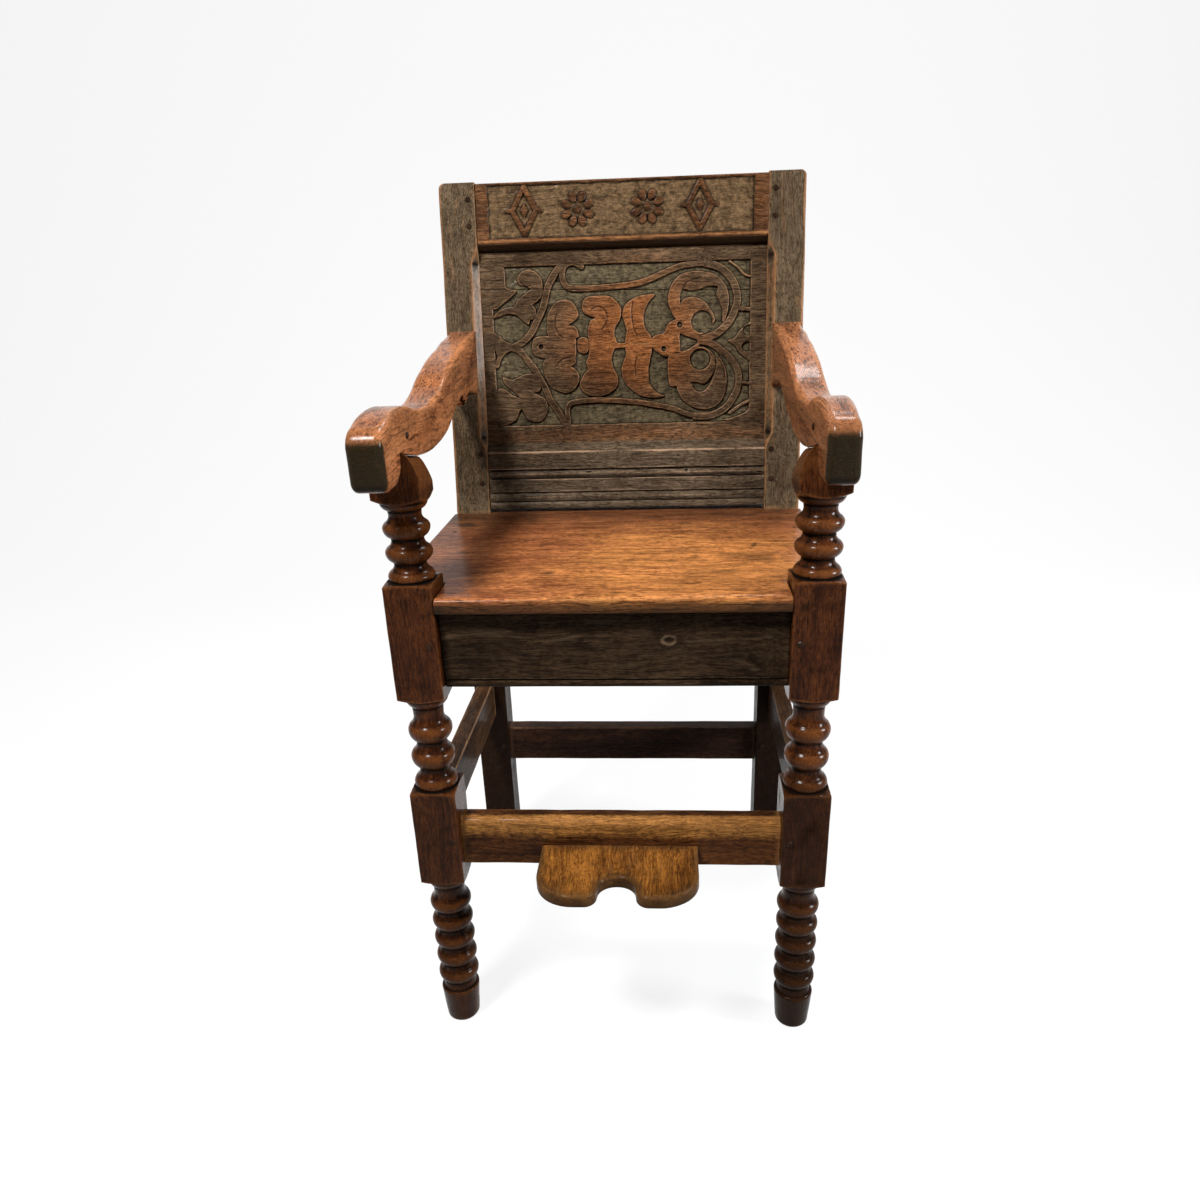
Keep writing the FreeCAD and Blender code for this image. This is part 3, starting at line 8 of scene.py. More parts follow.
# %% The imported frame
import cmath
import itertools
import math

import bpy
import numpy as np
from mathutils import Matrix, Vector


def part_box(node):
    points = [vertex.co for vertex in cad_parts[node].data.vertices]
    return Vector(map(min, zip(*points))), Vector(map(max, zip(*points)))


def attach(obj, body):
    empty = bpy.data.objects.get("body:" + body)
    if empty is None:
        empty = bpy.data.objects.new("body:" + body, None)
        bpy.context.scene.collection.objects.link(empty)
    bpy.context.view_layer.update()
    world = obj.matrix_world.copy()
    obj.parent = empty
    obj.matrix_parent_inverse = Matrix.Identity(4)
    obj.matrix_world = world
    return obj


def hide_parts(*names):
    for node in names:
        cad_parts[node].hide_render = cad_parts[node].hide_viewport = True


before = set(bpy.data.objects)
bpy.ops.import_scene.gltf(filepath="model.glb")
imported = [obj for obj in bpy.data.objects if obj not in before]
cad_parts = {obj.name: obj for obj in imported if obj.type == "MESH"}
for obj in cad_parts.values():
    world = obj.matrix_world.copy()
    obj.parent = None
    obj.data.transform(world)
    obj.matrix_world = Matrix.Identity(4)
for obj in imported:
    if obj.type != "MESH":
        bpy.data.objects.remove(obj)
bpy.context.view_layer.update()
print("nodes in the frame:", len(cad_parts))

# %% [markdown]
# ## The chair's own frame
#
# A joiner measures a chair in millimetres from its front: across from the middle, back
# from the front faces of the front posts, and up from the floor. The back leans, so
# what belongs to it is measured across, deep behind its front face, and up its slope
# from the seat. Both are turned into the frame's metres only when a piece is finished.

# %% Millimetres, and the boxes of the nodes
MM = 0.001
front_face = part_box("front_post_left")[0].y / MM


def span(node):
    """The lowest and highest corner of a node, in millimetres from the chair's front."""
    low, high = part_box(node)
    shift = np.array([0, front_face, 0])
    return np.array(low) / MM - shift, np.array(high) / MM - shift


seat_low, seat_high = span("seat_board_front")
post_low, post_high = span("front_post_right")
stile_low, stile_high = span("rear_post_right")
seat_top = seat_high[2]
stile_front = stile_low[1]
print("seat at", round(seat_top), "mm, rear posts from", round(stile_front), "mm back")

# %% The leaning frame of the back
STILE_DEPTH = 43
BACK_LEAN = 66.5
back_rise = stile_high[2] - seat_top
slope_length = math.hypot(back_rise, BACK_LEAN)
lean_cos = back_rise / slope_length
lean_sin = BACK_LEAN / slope_length


def lean_back(places):
    """Turn places across, deep and up the slope into places of the chair."""
    across, deep, up = np.asarray(places, float).T
    back = stile_front + deep * lean_cos + up * lean_sin
    high = seat_top - deep * lean_sin + up * lean_cos
    return np.stack([across, back, high], axis=1)


print("the back leans", round(math.degrees(math.atan2(lean_sin, lean_cos)), 2), "degrees")

# %% [markdown]
# ## Camera
#
# The photograph was taken standing, a little right of the chair's middle and looking
# down at it. The camera's place and turn were worked out from the chair's square
# corners, and its lens from how fast they shrink towards the floor.

# %% Camera
EYE = np.array([54.8, -798.7, 830.9])
YAW = 0.0677
PITCH = 0.3789
ROLL = -0.0322
LENS = 26.33
SENSOR = 36.0
SHIFT_ACROSS = -0.01046
SHIFT_UP = 0.02663
NEAREST_SEEN = 0.02


def stand(name, data):
    """Add an object to the scene."""
    made = bpy.data.objects.new(name, data)
    bpy.context.scene.collection.objects.link(made)
    return made


def turn_to(thing, aside, upward, away, place):
    """Put a camera or a lamp in its place, looking down its own third axis."""
    thing.matrix_world = Matrix([*zip(aside, upward, away, place), (0, 0, 0, 1)])


level_right = np.array([math.cos(YAW), math.sin(YAW), 0])
ahead = np.array(
    [-math.sin(YAW) * math.cos(PITCH), math.cos(YAW) * math.cos(PITCH), -math.sin(PITCH)]
)
level_up = np.cross(level_right, ahead)
eye_right = math.cos(ROLL) * level_right + math.sin(ROLL) * level_up
eye_up = math.cos(ROLL) * level_up - math.sin(ROLL) * level_right
eye = (EYE + (0, front_face, 0)) * MM

lens = bpy.data.cameras.new("camera")
lens.sensor_fit = "HORIZONTAL"
lens.sensor_width = SENSOR
lens.lens = LENS
lens.shift_x = SHIFT_ACROSS
lens.shift_y = SHIFT_UP
lens.clip_start = NEAREST_SEEN
camera = stand("camera", lens)
turn_to(camera, eye_right, eye_up, -ahead, eye)
bpy.context.scene.camera = camera
bpy.context.scene.view_settings.view_transform = "Standard"
print("camera at", eye.round(3))

# %% [markdown]
# ## Reckoning with sockets
#
# A finish is a graph of nodes, but it reads better as arithmetic. A Wire wraps one
# socket of the graph. Adding, multiplying or comparing wires adds the nodes that do so.

# %% Wire


def solid(shade):
    """A colour as a socket takes it: a wire as it is, three shares with full cover."""
    return shade if isinstance(shade, Wire) else (*shade, 1.0)


class Wire:
    """A socket of a finish's node graph that is reckoned with like a number."""

    def __init__(self, tree, socket):
        self.tree = tree
        self.socket = socket

    def node(self, kind, settings=None, sockets=None, output=0):
        """Add a node: its settings first, then a value or a wire for each socket."""
        made = self.tree.nodes.new(kind)
        for name, value in (settings or {}).items():
            setattr(made, name, value)
        for name, value in (sockets or {}).items():
            if isinstance(value, Wire):
                self.tree.links.new(value.socket, made.inputs[name])
            else:
                made.inputs[name].default_value = value
        return None if output is None else Wire(self.tree, made.outputs[output])

    def reckon(self, operation, *values):
        """The outcome of one piece of arithmetic."""
        return self.node("ShaderNodeMath", {"operation": operation}, dict(enumerate(values)))

    def __add__(self, other):
        return self.reckon("ADD", self, other)

    def __sub__(self, other):
        return self.reckon("SUBTRACT", self, other)

    def __mul__(self, other):
        return self.reckon("MULTIPLY", self, other)

    def __rsub__(self, other):
        return self.reckon("SUBTRACT", other, self)

    __radd__ = __add__
    __rmul__ = __mul__

    def held(self):
        """The same value kept between nought and one."""
        return self.node("ShaderNodeClamp", None, {0: self, 1: 0.0, 2: 1.0})

    def rise(self, low, high):
        """Nought below low and one above high, with a soft slope between."""
        settings = {"interpolation_type": "SMOOTHSTEP"}
        return self.node("ShaderNodeMapRange", settings, {0: self, 1: low, 2: high, 3: 0.0, 4: 1.0})

    def between(self, first, second):
        """The mix of two colours that this value asks for."""
        sockets = {0: self, 6: solid(first), 7: solid(second)}
        return self.node("ShaderNodeMix", {"data_type": "RGBA"}, sockets, 2)

    def tint(self, other, amount):
        """This colour multiplied by another one, by an amount."""
        settings = {"data_type": "RGBA", "blend_type": "MULTIPLY"}
        return self.node("ShaderNodeMix", settings, {0: amount, 6: self, 7: solid(other)}, 2)

    def moved(self, offset):
        """These places shifted."""
        return self.node("ShaderNodeVectorMath", {"operation": "ADD"}, {0: self, 1: offset})

    def stretched(self, scale):
        """These places multiplied, each way by a share of its own."""
        return self.node("ShaderNodeVectorMath", {"operation": "MULTIPLY"}, {0: self, 1: scale})

    def noise(self, scale, detail, rough=0.55, output=0):
        """Cloudy noise at these places."""
        sockets = {"Vector": self, "Scale": scale, "Detail": detail, "Roughness": rough}
        return self.node("ShaderNodeTexNoise", None, sockets, output)

    def mark(self, name):
        """What a mark on the mesh's points says here."""
        return self.node("ShaderNodeAttribute", {"attribute_name": name}, None, "Fac")


def blank_finish(name):
    """A new finish whose graph is still empty."""
    finish = bpy.data.materials.new(name)
    finish.use_nodes = True
    finish.node_tree.nodes.clear()
    return finish


# %% [markdown]
# ## Old oak
#
# Quarter-sawn oak has long pores that show as short dark dashes along the grain, broad
# soft bands where summers differ, and a few pale rays across them. Along the grain the
# pattern is stretched about fifteen times. Long drying cracks run the same way.
#
# Three centuries of wax and hands leave the high edges polished and pale, and dirt in
# every hollow; the hollows also carry painted shade. The meshes carry that as marks on
# their points. Worn, and grime with painted shade, are read off every mesh's own form.
# Handled, stain and raised are laid on some pieces: where hands have rubbed them, with a
# painted sheen on the seat; where they are stained, and where painted shade darkens them;
# and where a carved figure stands above its ground. The finish breaks every mark up with noise.

# %% The oak's noises and tints
GRAIN = {"across": (0.065, 1, 1), "back": (1, 0.065, 1), "up": (1, 1, 0.065)}
CRACK_STRETCH = 0.4
RAY_PLACE = (3.1, 1.7, 5.3)
SPECK_PLACE = (7.3, 2.9, 1.1)

# Scale, detail and roughness of each noise, the finest last
BROAD = (5.0, 2.0, 0.5)
DRIFT = (7.0, 2.0)
CLOUDS = (18.0, 5.0, 0.65)
BANDS = (45.0, 3.0, 0.6)
RAYS = (150.0, 1.0, 0.5)
SPECKS = (150.0, 6.0, 0.75)
STREAKS = (380.0, 4.0, 0.7)
CRACKS = (420.0, 2.0, 0.5)
PORES = (1400.0, 2.0, 0.5)

# What is left of the wood's colour in each of them
IN_PORES = (0.26, 0.22, 0.2)
IN_CRACKS = (0.22, 0.16, 0.14)
IN_SPECKS = (0.5, 0.44, 0.4)
IN_PATCHES = (0.42, 0.36, 0.32)

DIRT_AND_SHADE = (0.006, 0.004, 0.003)
BUMP_STRENGTH = 0.8
BUMP_DEPTH = 0.0014
COAT_ROUGHNESS = 0.19
COAT_IOR = 1.17
BARE_SHINE = 0.015
print("the grain can run", ", ".join(GRAIN))

# %% Oak


def darker(shade, share):
    """A colour at a share of its brightness."""
    return tuple(value * share for value in shade)


def oak(
    name,
    along,
    pale,
    deep,
    worn,
    stained_and_shaded=(0.02, 0.013, 0.007),
    ground=None,
    rubbed_and_sheen_to=None,
    rough=0.42,
    wax=0.25,
    wear=1.0,
    soil_and_shade=1.0,
    patches=0.5,
    checks=0.4,
    grain_depth=1.0,
):
    """A finish of old oak whose grain runs along one way of the chair."""
    finish = blank_finish(name)
    tree = finish.node_tree
    place = Wire(tree, tree.nodes.new("ShaderNodeTexCoord").outputs["Object"])
    drift = place.noise(*DRIFT, output=1).moved((-0.5, -0.5, -0.5)).stretched((0.03, 0.03, 0.03))
    grained = place.moved(drift).stretched(GRAIN[along])
    bands = grained.noise(*BANDS)
    streaks = grained.noise(*STREAKS)
    pores = grained.noise(*PORES).rise(0.5, 0.62)
    rays = grained.moved(RAY_PLACE).noise(*RAYS).rise(0.6, 0.72)
    long_grain = grained.stretched(tuple(value**CRACK_STRETCH for value in GRAIN[along]))
    cracks = long_grain.noise(*CRACKS).rise(0.55, 0.64) * checks
    clouds = place.noise(*CLOUDS)
    broad = place.noise(*BROAD)
    specks = place.moved(SPECK_PLACE).noise(*SPECKS)

    tone = (bands * 0.9 + streaks * 0.9 + clouds * 0.7 - 0.75).rise(0.16, 0.84)
    surface = tone.between(deep, pale)
    if rubbed_and_sheen_to:
        # Handled marks: rubbed wood, and on the seat also a painted sheen.
        handled_and_sheen = place.mark("handled_and_sheen")
        bright = tone.between(darker(rubbed_and_sheen_to, 0.42), rubbed_and_sheen_to)
        surface = (handled_and_sheen + specks * 0.6 - 0.3).rise(0.1, 0.9).between(surface, bright)
    surface = surface.tint(IN_PORES, pores * 0.7)
    surface = surface.tint(IN_CRACKS, cracks)
    surface = surface.tint(IN_SPECKS, (1 - specks).rise(0.46, 0.62) * 0.6)
    surface = (rays * 0.14).between(surface, worn)
    surface = surface.tint(IN_PATCHES, broad.rise(0.46, 0.68) * patches)
    if ground:
        raised = place.mark("raised")
        hollow = (specks * 1.3 + streaks * 0.4 - 0.35).rise(0.2, 0.75)
        hollow = hollow.between(darker(ground, 0.16), ground)
        surface = (raised + specks * 0.5 - 0.25).rise(0.3, 0.75).between(hollow, surface)
    edges = place.mark("worn")
    rubbed = ((edges * 1.5 + specks * 1.6 - 1.25) * edges.rise(0.02, 0.3) * wear).held()
    surface = rubbed.between(surface, worn)
    # Hollows darken towards the dirt colour: real dirt, and painted shade in creases and recesses.
    corners = place.mark("grime_and_shade")
    soiled_and_shaded = (corners * (0.5 + specks * 1.1) * soil_and_shade + clouds.rise(0.6, 0.74) * 0.45).held()
    surface = soiled_and_shaded.between(surface, DIRT_AND_SHADE)
    # Stain marks: real stains, and painted shade laid under the seat, under the top rail's chamfer,
    # round the footrest, on the grip ends and low on the front posts.
    stains_and_shade = place.mark("stain_and_shade")
    surface = (stains_and_shade * (0.6 + specks * 0.9)).held().between(surface, stained_and_shaded)

    dull = (rough - rubbed * 0.08 + soiled_and_shaded * 0.22 + specks * 0.3 - 0.15 + pores * 0.12).held()
    height = streaks * 0.9 - pores * 0.6 + specks * 0.5 + bands * 0.4 - cracks * 1.4
    strength = BUMP_STRENGTH * grain_depth
    bump_sockets = {"Strength": strength, "Distance": BUMP_DEPTH, "Height": height}
    shader_sockets = {
        "Normal": place.node("ShaderNodeBump", None, bump_sockets),
        "Coat Weight": (1 - soiled_and_shaded - stains_and_shade * 0.5).held() * wax,
        "Coat Roughness": COAT_ROUGHNESS,
        "Coat IOR": COAT_IOR,
        "Specular IOR Level": BARE_SHINE,
        "Base Color": surface,
        "Roughness": dull,
    }
    shader = place.node("ShaderNodeBsdfPrincipled", None, shader_sockets)
    place.node("ShaderNodeOutputMaterial", None, {"Surface": shader}, output=None)
    return finish


# %% The finishes of this chair
# Each has a name, the way of its grain, and its pale, deep and worn colours
finishes = {
    "front_posts": oak(
        "turned oak", "up", (0.092, 0.027, 0.0065), (0.024, 0.006, 0.002), (0.14, 0.046, 0.012),
        rough=0.28, wax=0.8, soil_and_shade=2.2, wear=0.5, stained_and_shaded=(0.012, 0.005, 0.002),
    ),
    "rear_posts": oak(
        "stile oak", "up", (0.135, 0.096, 0.057), (0.07, 0.047, 0.027), (0.34, 0.15, 0.06),
        rough=0.36, wax=0.5, wear=0.45, stained_and_shaded=(0.014, 0.006, 0.003),
    ),
    "top_rail": oak(
        "top rail oak", "across", (0.18, 0.08, 0.034), (0.05, 0.024, 0.012), (0.38, 0.17, 0.065),
        ground=(0.165, 0.1, 0.05), rough=0.48, wax=0.4, wear=0.6, stained_and_shaded=(0.014, 0.007, 0.003),
    ),
    "back_panel": oak(
        "carved oak", "across", (0.145, 0.092, 0.052), (0.06, 0.038, 0.022), (0.36, 0.2, 0.1),
        ground=(0.12, 0.092, 0.052), rubbed_and_sheen_to=(0.3, 0.112, 0.038), rough=0.5, wax=0.4, wear=0.6,
    ),
    "lower_back_rail": oak(
        "moulded oak", "across", (0.135, 0.095, 0.06), (0.055, 0.038, 0.024), (0.3, 0.19, 0.12),
        rough=0.48, wax=0.4, soil_and_shade=1.2,
    ),
    "seat_boards": oak(
        "seat oak", "across", (0.4, 0.14, 0.05), (0.13, 0.034, 0.012), (0.3, 0.14, 0.045),
        rubbed_and_sheen_to=(0.64, 0.25, 0.07), rough=0.38, wax=0.6, wear=0.6, patches=0.35, checks=0.7,
        grain_depth=0.8,
    ),
    "front_seat_rail": oak(
        "apron oak", "across", (0.065, 0.038, 0.02), (0.016, 0.009, 0.005), (0.22, 0.15, 0.09),
        rough=0.46, wax=0.15,
    ),
    "arms": oak(
        "arm oak", "back", (0.38, 0.14, 0.052), (0.09, 0.028, 0.011), (0.46, 0.2, 0.085),
        stained_and_shaded=(0.02, 0.013, 0.006), rough=0.3, wax=0.9, wear=0.2, checks=0.8, grain_depth=0.7,
    ),
    "footrest": oak(
        "footrest oak", "back", (0.3, 0.115, 0.02), (0.06, 0.02, 0.005), (0.3, 0.14, 0.045),
        rough=0.4, wax=0.5, wear=0.25, grain_depth=0.8,
    ),
    "front_stretcher": oak(
        "stretcher oak", "across", (0.12, 0.042, 0.012), (0.022, 0.007, 0.002), (0.3, 0.13, 0.04),
        rubbed_and_sheen_to=(0.5, 0.22, 0.055), rough=0.4, wax=0.4, wear=0.4,
    ),
    "side_stretchers": oak(
        "side stretcher oak", "back", (0.1, 0.048, 0.022), (0.03, 0.014, 0.007), (0.24, 0.13, 0.07)
    ),
    "rear_stretcher": oak(
        "rear stretcher oak", "across", (0.055, 0.024, 0.013), (0.017, 0.008, 0.005),
        (0.14, 0.07, 0.04), wear=0.5,
    ),
    "side_seat_rails": oak(
        "side rail oak", "back", (0.09, 0.045, 0.024), (0.035, 0.017, 0.009), (0.18, 0.1, 0.055)
    ),
    "rear_seat_rail": oak(
        "rear rail oak", "across", (0.08, 0.045, 0.026), (0.03, 0.017, 0.01), (0.16, 0.09, 0.05)
    ),
    "pegs": oak("peg oak", "up", (0.05, 0.026, 0.014), (0.016, 0.008, 0.005), (0.1, 0.06, 0.035)),
}
print("finishes:", ", ".join(finishes))

# %% [markdown]
# ## Noise that the meshes share
#
# Hand tools leave no straight edge. Each shape is eased by smooth noise on its points:
# random values on a lattice, joined by soft slopes, the same at every run. The same soft
# slope marks where hands have rubbed a piece, where it is stained, and where shade is painted on
# it.

# %% Smooth noise
LATTICE = np.array([374761393, 668265263, 2246822519])


def lattice_value(cells, seed):
    """A steady random number from nought to one for each whole-numbered place."""
    mixed = cells.astype(np.int64) @ LATTICE[: cells.shape[1]] + seed * 1274126177
    mixed = ((mixed ^ (mixed >> 13)) * 1103515245) & 0x7FFFFFFF
    mixed = ((mixed ^ (mixed >> 15)) * 69069) & 0x7FFFFFFF
    return ((mixed >> 8) & 0xFFFF) / 0xFFFF


def wobble(places, bump_size, seed):
    """Smooth noise from nought to one whose bumps are about bump_size wide."""
    scaled = np.asarray(places, float) / bump_size
    base = np.floor(scaled)
    part = scaled - base
    part = part * part * (3 - 2 * part)
    total = np.zeros(len(scaled))
    for corner in itertools.product((0, 1), repeat=scaled.shape[1]):
        weight = np.prod(np.where(corner, part, 1 - part), axis=1)
        total += weight * lattice_value(base + corner, seed)
    return total


def soft_step(value, low, high):
    """Nought below low and one above high, with a soft slope between."""
    share = np.clip((value - low) / (high - low), 0, 1)
    return share * share * (3 - 2 * share)


print("noise at one place:", round(float(wobble([[1.5, 2.5, 3.5]], 2, 1)[0]), 3))

# %% [markdown]
# ## From points to a piece
#
# Every piece ends the same way. Its faces are turned outward, its points are moved into
# the frame's metres, and its wear is read off its own form: a point that stands proud of
# the smoothed surface round it is worn, and one that lies in a hollow is darkened, as dirt
# and as painted shade.

# %% Making a piece
WEAR_STEPS = 14
WORN_RISE = 0.55
SHADE_AND_GRIME_DEPTH = 0.5
SHARP_ANGLE = 42


def outward(points, quads, caps):
    """The faces as lists, all looking outward, going by the volume that they close."""
    volume = 0.0
    for corners in (quads[:, [0, 1, 2]], quads[:, [0, 2, 3]]):
        one, two, three = (points[corners[:, place]] for place in range(3))
        volume += np.einsum("ij,ij->", one, np.cross(two, three))
    for cap in caps:
        rim = points[cap]
        volume += (np.cross(rim[1:-1], rim[2:]) @ rim[0]).sum()
    faces = quads.tolist() + [list(map(int, cap)) for cap in caps]
    return faces if volume > 0 else [face[::-1] for face in faces]


def mark_points(mesh, name, values):
    """Keep a value for every point of a mesh under a name that the finishes read."""
    mark = mesh.attributes.get(name) or mesh.attributes.new(name, "FLOAT", "POINT")
    mark.data.foreach_set("value", values.astype(np.float32))


def read_wear(mesh, points, steps):
    """Mark where the form stands proud and where it lies hollow."""
    ends = np.empty(len(mesh.edges) * 2, np.int32)
    mesh.edges.foreach_get("vertices", ends)
    one, two = ends.reshape(-1, 2).T
    count = np.bincount(ends, minlength=len(points))[:, None]
    soft = points.copy()
    for _ in range(steps):
        total = np.stack(
            [
                np.bincount(one, soft[two, axis], len(points))
                + np.bincount(two, soft[one, axis], len(points))
                for axis in range(3)
            ],
            axis=1,
        )
        soft = (soft + total / count) / 2
    normals = np.empty(len(points) * 3, np.float32)
    mesh.vertices.foreach_get("normal", normals)
    proud = ((points - soft) * normals.reshape(-1, 3)).sum(axis=1)
    mark_points(mesh, "worn", np.clip(proud / WORN_RISE, 0, 1))
    # Hollows get a dark mark: dirt, and painted shade in creases.
    mark_points(mesh, "grime_and_shade", np.clip(-proud / SHADE_AND_GRIME_DEPTH, 0, 1))


def dress(node, shape, slot, marks=None, leaning=False, sharp=SHARP_ANGLE, steps=WEAR_STEPS):
    """Stand a finished shape in for its node."""
    points, faces = shape
    if leaning:
        points = lean_back(points)
    mesh = bpy.data.meshes.new(f"{node}_wood")
    mesh.from_pydata(((points + (0, front_face, 0)) * MM).tolist(), [], faces)
    mesh.shade_smooth()
    if sharp:
        mesh.set_sharp_from_angle(angle=math.radians(sharp))
    read_wear(mesh, points, steps)
    for name, values in (marks or {}).items():
        mark_points(mesh, name, values)
    mesh.materials.append(finishes[slot])
    piece = stand(f"{node}_wood", mesh)
    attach(piece, "root")
    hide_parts(node)
    print(f"{node}: {len(points)} points")


def together(*shapes):
    """Several closed shapes as one."""
    points = np.concatenate([shape[0] for shape in shapes])
    faces = []
    start_at = 0
    for own_points, own_faces in shapes:
        faces += [[corner + start_at for corner in face] for face in own_faces]
        start_at += len(own_points)
    return points, faces


# %% [markdown]
# ## Lofts
#
# A rail, a post or an arm is a row of closed sections with a skin over them. Each
# section has the same count of points, so a tenon is only a smaller section after the
# shoulder. Corner arcs are worn to a different radius at every section.

# %% Lofts and rounded sections
ARC_SHARES = np.linspace(0, 1, 5)
FACE_SHARES = (0.02, 0.07, 0.2, 0.4, 0.6, 0.8, 0.93, 0.98)


def loft(rings):
    """Skin a row of closed rings that have as many points each, and cap both ends."""
    rings = np.asarray(rings, float)
    stations, around = rings.shape[:2]
    number = np.arange(stations * around).reshape(stations, around)
    beside = np.roll(number, -1, axis=1)
    quads = np.stack([number[:-1], beside[:-1], beside[1:], number[1:]], axis=-1).reshape(-1, 4)
    points = rings.reshape(-1, 3)
    return points, outward(points, quads, [number[0][::-1], number[-1]])


def section(low, high, radii, flat=(0, 0, 0, 0)):
    """A rectangle's outline whose corners are rounded, or bevelled as far as flat says."""
    arcs = []
    places = (
        ((low[0], low[1]), (1, 1)),
        ((high[0], low[1]), (-1, 1)),
        ((high[0], high[1]), (-1, -1)),
        ((low[0], high[1]), (1, -1)),
    )
    for turn, ((corner, inward), radius) in enumerate(zip(places, radii)):
        centre = np.array(corner) + np.array(inward) * radius
        angles = np.radians(180 + 90 * turn + 90 * ARC_SHARES)
        curve = centre + radius * np.stack([np.cos(angles), np.sin(angles)], axis=1)
        chord = curve[0] + (curve[-1] - curve[0]) * ARC_SHARES[:, None]
        arcs.append(curve + (chord - curve) * flat[turn])
    loop = []
    for this, after in zip(arcs, arcs[1:] + arcs[:1]):
        loop += list(this)
        loop += [this[-1] + (after[0] - this[-1]) * share for share in FACE_SHARES]
    return np.array(loop)


def eased(points, middle, amount, seed):
    """Points drawn a little towards a middle, as hand planing leaves them."""
    inward = middle - points
    inward /= np.linalg.norm(inward, axis=1)[:, None] + 1e-9
    depth = amount * (0.7 * wobble(points, 38, seed) + 0.3 * wobble(points, 9, seed + 1))
    return points + inward * depth[:, None]


def stations(low, high, step):
    """Even places from low to high, with close ones beside both ends."""
    inner = np.linspace(low, high, max(2, round((high - low) / step)) + 1)
    close = [low + 0.4, low + 1.2, high - 1.2, high - 0.4]
    return np.unique(np.concatenate([inner, close]))


# %% [markdown]
# ## Rails and stretchers
#
# Each is a planed board with a tenon at both ends. Where feet, hands or a broom reach it
# the arris has gone, so every corner has a radius of its own that wavers along the rail.

# %% Bars
TENON_SET_BACK = 7
TENON_THICKNESS = 8
TENON_SHOULDER = 8
TENON_LENGTH = 20
TENON_EDGE = 0.3
BAR_STEP = 6
BAR_EASE = 0.35
AXES = {"across": (0, 1, 2), "back": (1, 0, 2)}
SIDES = ((-1, "left"), (1, "right"))


def bar(low, high, along, radii, seed, cheek_low):
    """A rail between its shoulders low and high, with tenons beyond them."""
    run, side, tall = AXES[along]
    tenon_low = (cheek_low, low[tall] + TENON_SHOULDER)
    tenon_high = (cheek_low + TENON_THICKNESS, high[tall] - TENON_SHOULDER)
    tenon = section(tenon_low, tenon_high, (TENON_EDGE,) * 4)
    centre = (low + high) / 2

    def ring(outline, place):
        made = np.empty((len(outline), 3))
        made[:, run] = place
        made[:, side] = outline[:, 0]
        made[:, tall] = outline[:, 1]
        return made

    rings = [ring(tenon, low[run] - TENON_LENGTH), ring(tenon, low[run])]
    for place in stations(low[run], high[run], BAR_STEP):
        worn = [
            radius * (0.6 + 0.8 * wobble([[place, corner * 50]], 22, seed + 9)[0])
            for corner, radius in enumerate(radii)
        ]
        outline = section((low[side], low[tall]), (high[side], high[tall]), worn)
        centre[run] = place
        rings.append(eased(ring(outline, place), centre, BAR_EASE, seed))
    rings += [ring(tenon, high[run]), ring(tenon, high[run] + TENON_LENGTH)]
    return loft(rings)


def rail_body(node, along):
    """The corners of a rail between its shoulders, from its node's box."""
    low, high = span(node)
    run = AXES[along][0]
    low[run] += TENON_LENGTH
    high[run] -= TENON_LENGTH
    return low, high


# Radii go round the section from its low front edge: low front, low back, top back, top front
ACROSS_BARS = (
    ("rear_stretcher", (1.5, 1.2, 1.5, 2.0), 3),
    ("rear_seat_rail", (1.0, 1.2, 1.0, 1.0), 5),
    ("front_stretcher", (1.6, 1.2, 2.0, 7.5), 7),
)
# Feet rub a stretcher from this far below its top and behind its front, and fully from there
RUBBED_BELOW = (30, 8)
RUBBED_BEHIND = (14, 6)
for node, radii, seed in ACROSS_BARS:
    low, high = rail_body(node, "across")
    shape = bar(low, high, "across", radii, seed, low[1] + TENON_SET_BACK)
    across, back, tall = shape[0].T
    by_feet = soft_step(tall, high[2] - RUBBED_BELOW[0], high[2] - RUBBED_BELOW[1])
    by_feet *= soft_step(-back, -low[1] - RUBBED_BEHIND[0], -low[1] - RUBBED_BEHIND[1])
    by_feet *= 0.4 + wobble(shape[0][:, :1], 35, seed)
    dress(node, shape, node, {"handled_and_sheen": by_feet})

SIDE_BARS = (("side_stretcher", "side_stretchers", 11), ("side_seat_rail", "side_seat_rails", 17))
for node, slot, seed in SIDE_BARS:
    for side, word in SIDES:
        low, high = rail_body(f"{node}_{word}", "back")
        outer = high[0] if side > 0 else low[0]
        cheek = outer - side * TENON_SET_BACK
        cheek_low = min(cheek, cheek - side * TENON_THICKNESS)
        shape = bar(low, high, "back", (1.6, 1.6, 1.8, 1.8), seed + side, cheek_low)
        dress(f"{node}_{word}", shape, slot)

# %% [markdown]
# ## Turned front posts
#
# The turner starts from a square billet and cuts rings, hollows and a tapered foot
# between the blocks that hold the joints. Where the lathe's cut meets a flat it leaves a
# curved shoulder. The post is made the same way: each point round it lies at the
# smaller of the square's radius and the lathe's radius at its height.

# %% The turner's outline
RING_RADIUS = 23.8
NECK_RADIUS = 16.5
FOOT_NECK_RADIUS = 18
CLEAR_RADIUS = 40
CROWN_SHARE = 0.18
CREASE_SHARE = 0.42
POMMEL_FALL = 3.5
ARC_POINTS = 13

# How far in from its corner a quarter round's middle lies, as a share of its radius
BEND_SHARE = 0.293


def circle_centre(one, two, three):
    """The middle of the circle through three points held as complex numbers."""
    side = two - one
    other = three - one
    cross = (side.conjugate() * other).imag
    return one + 1j * (side * abs(other) ** 2 - other * abs(side) ** 2) / (2 * cross)


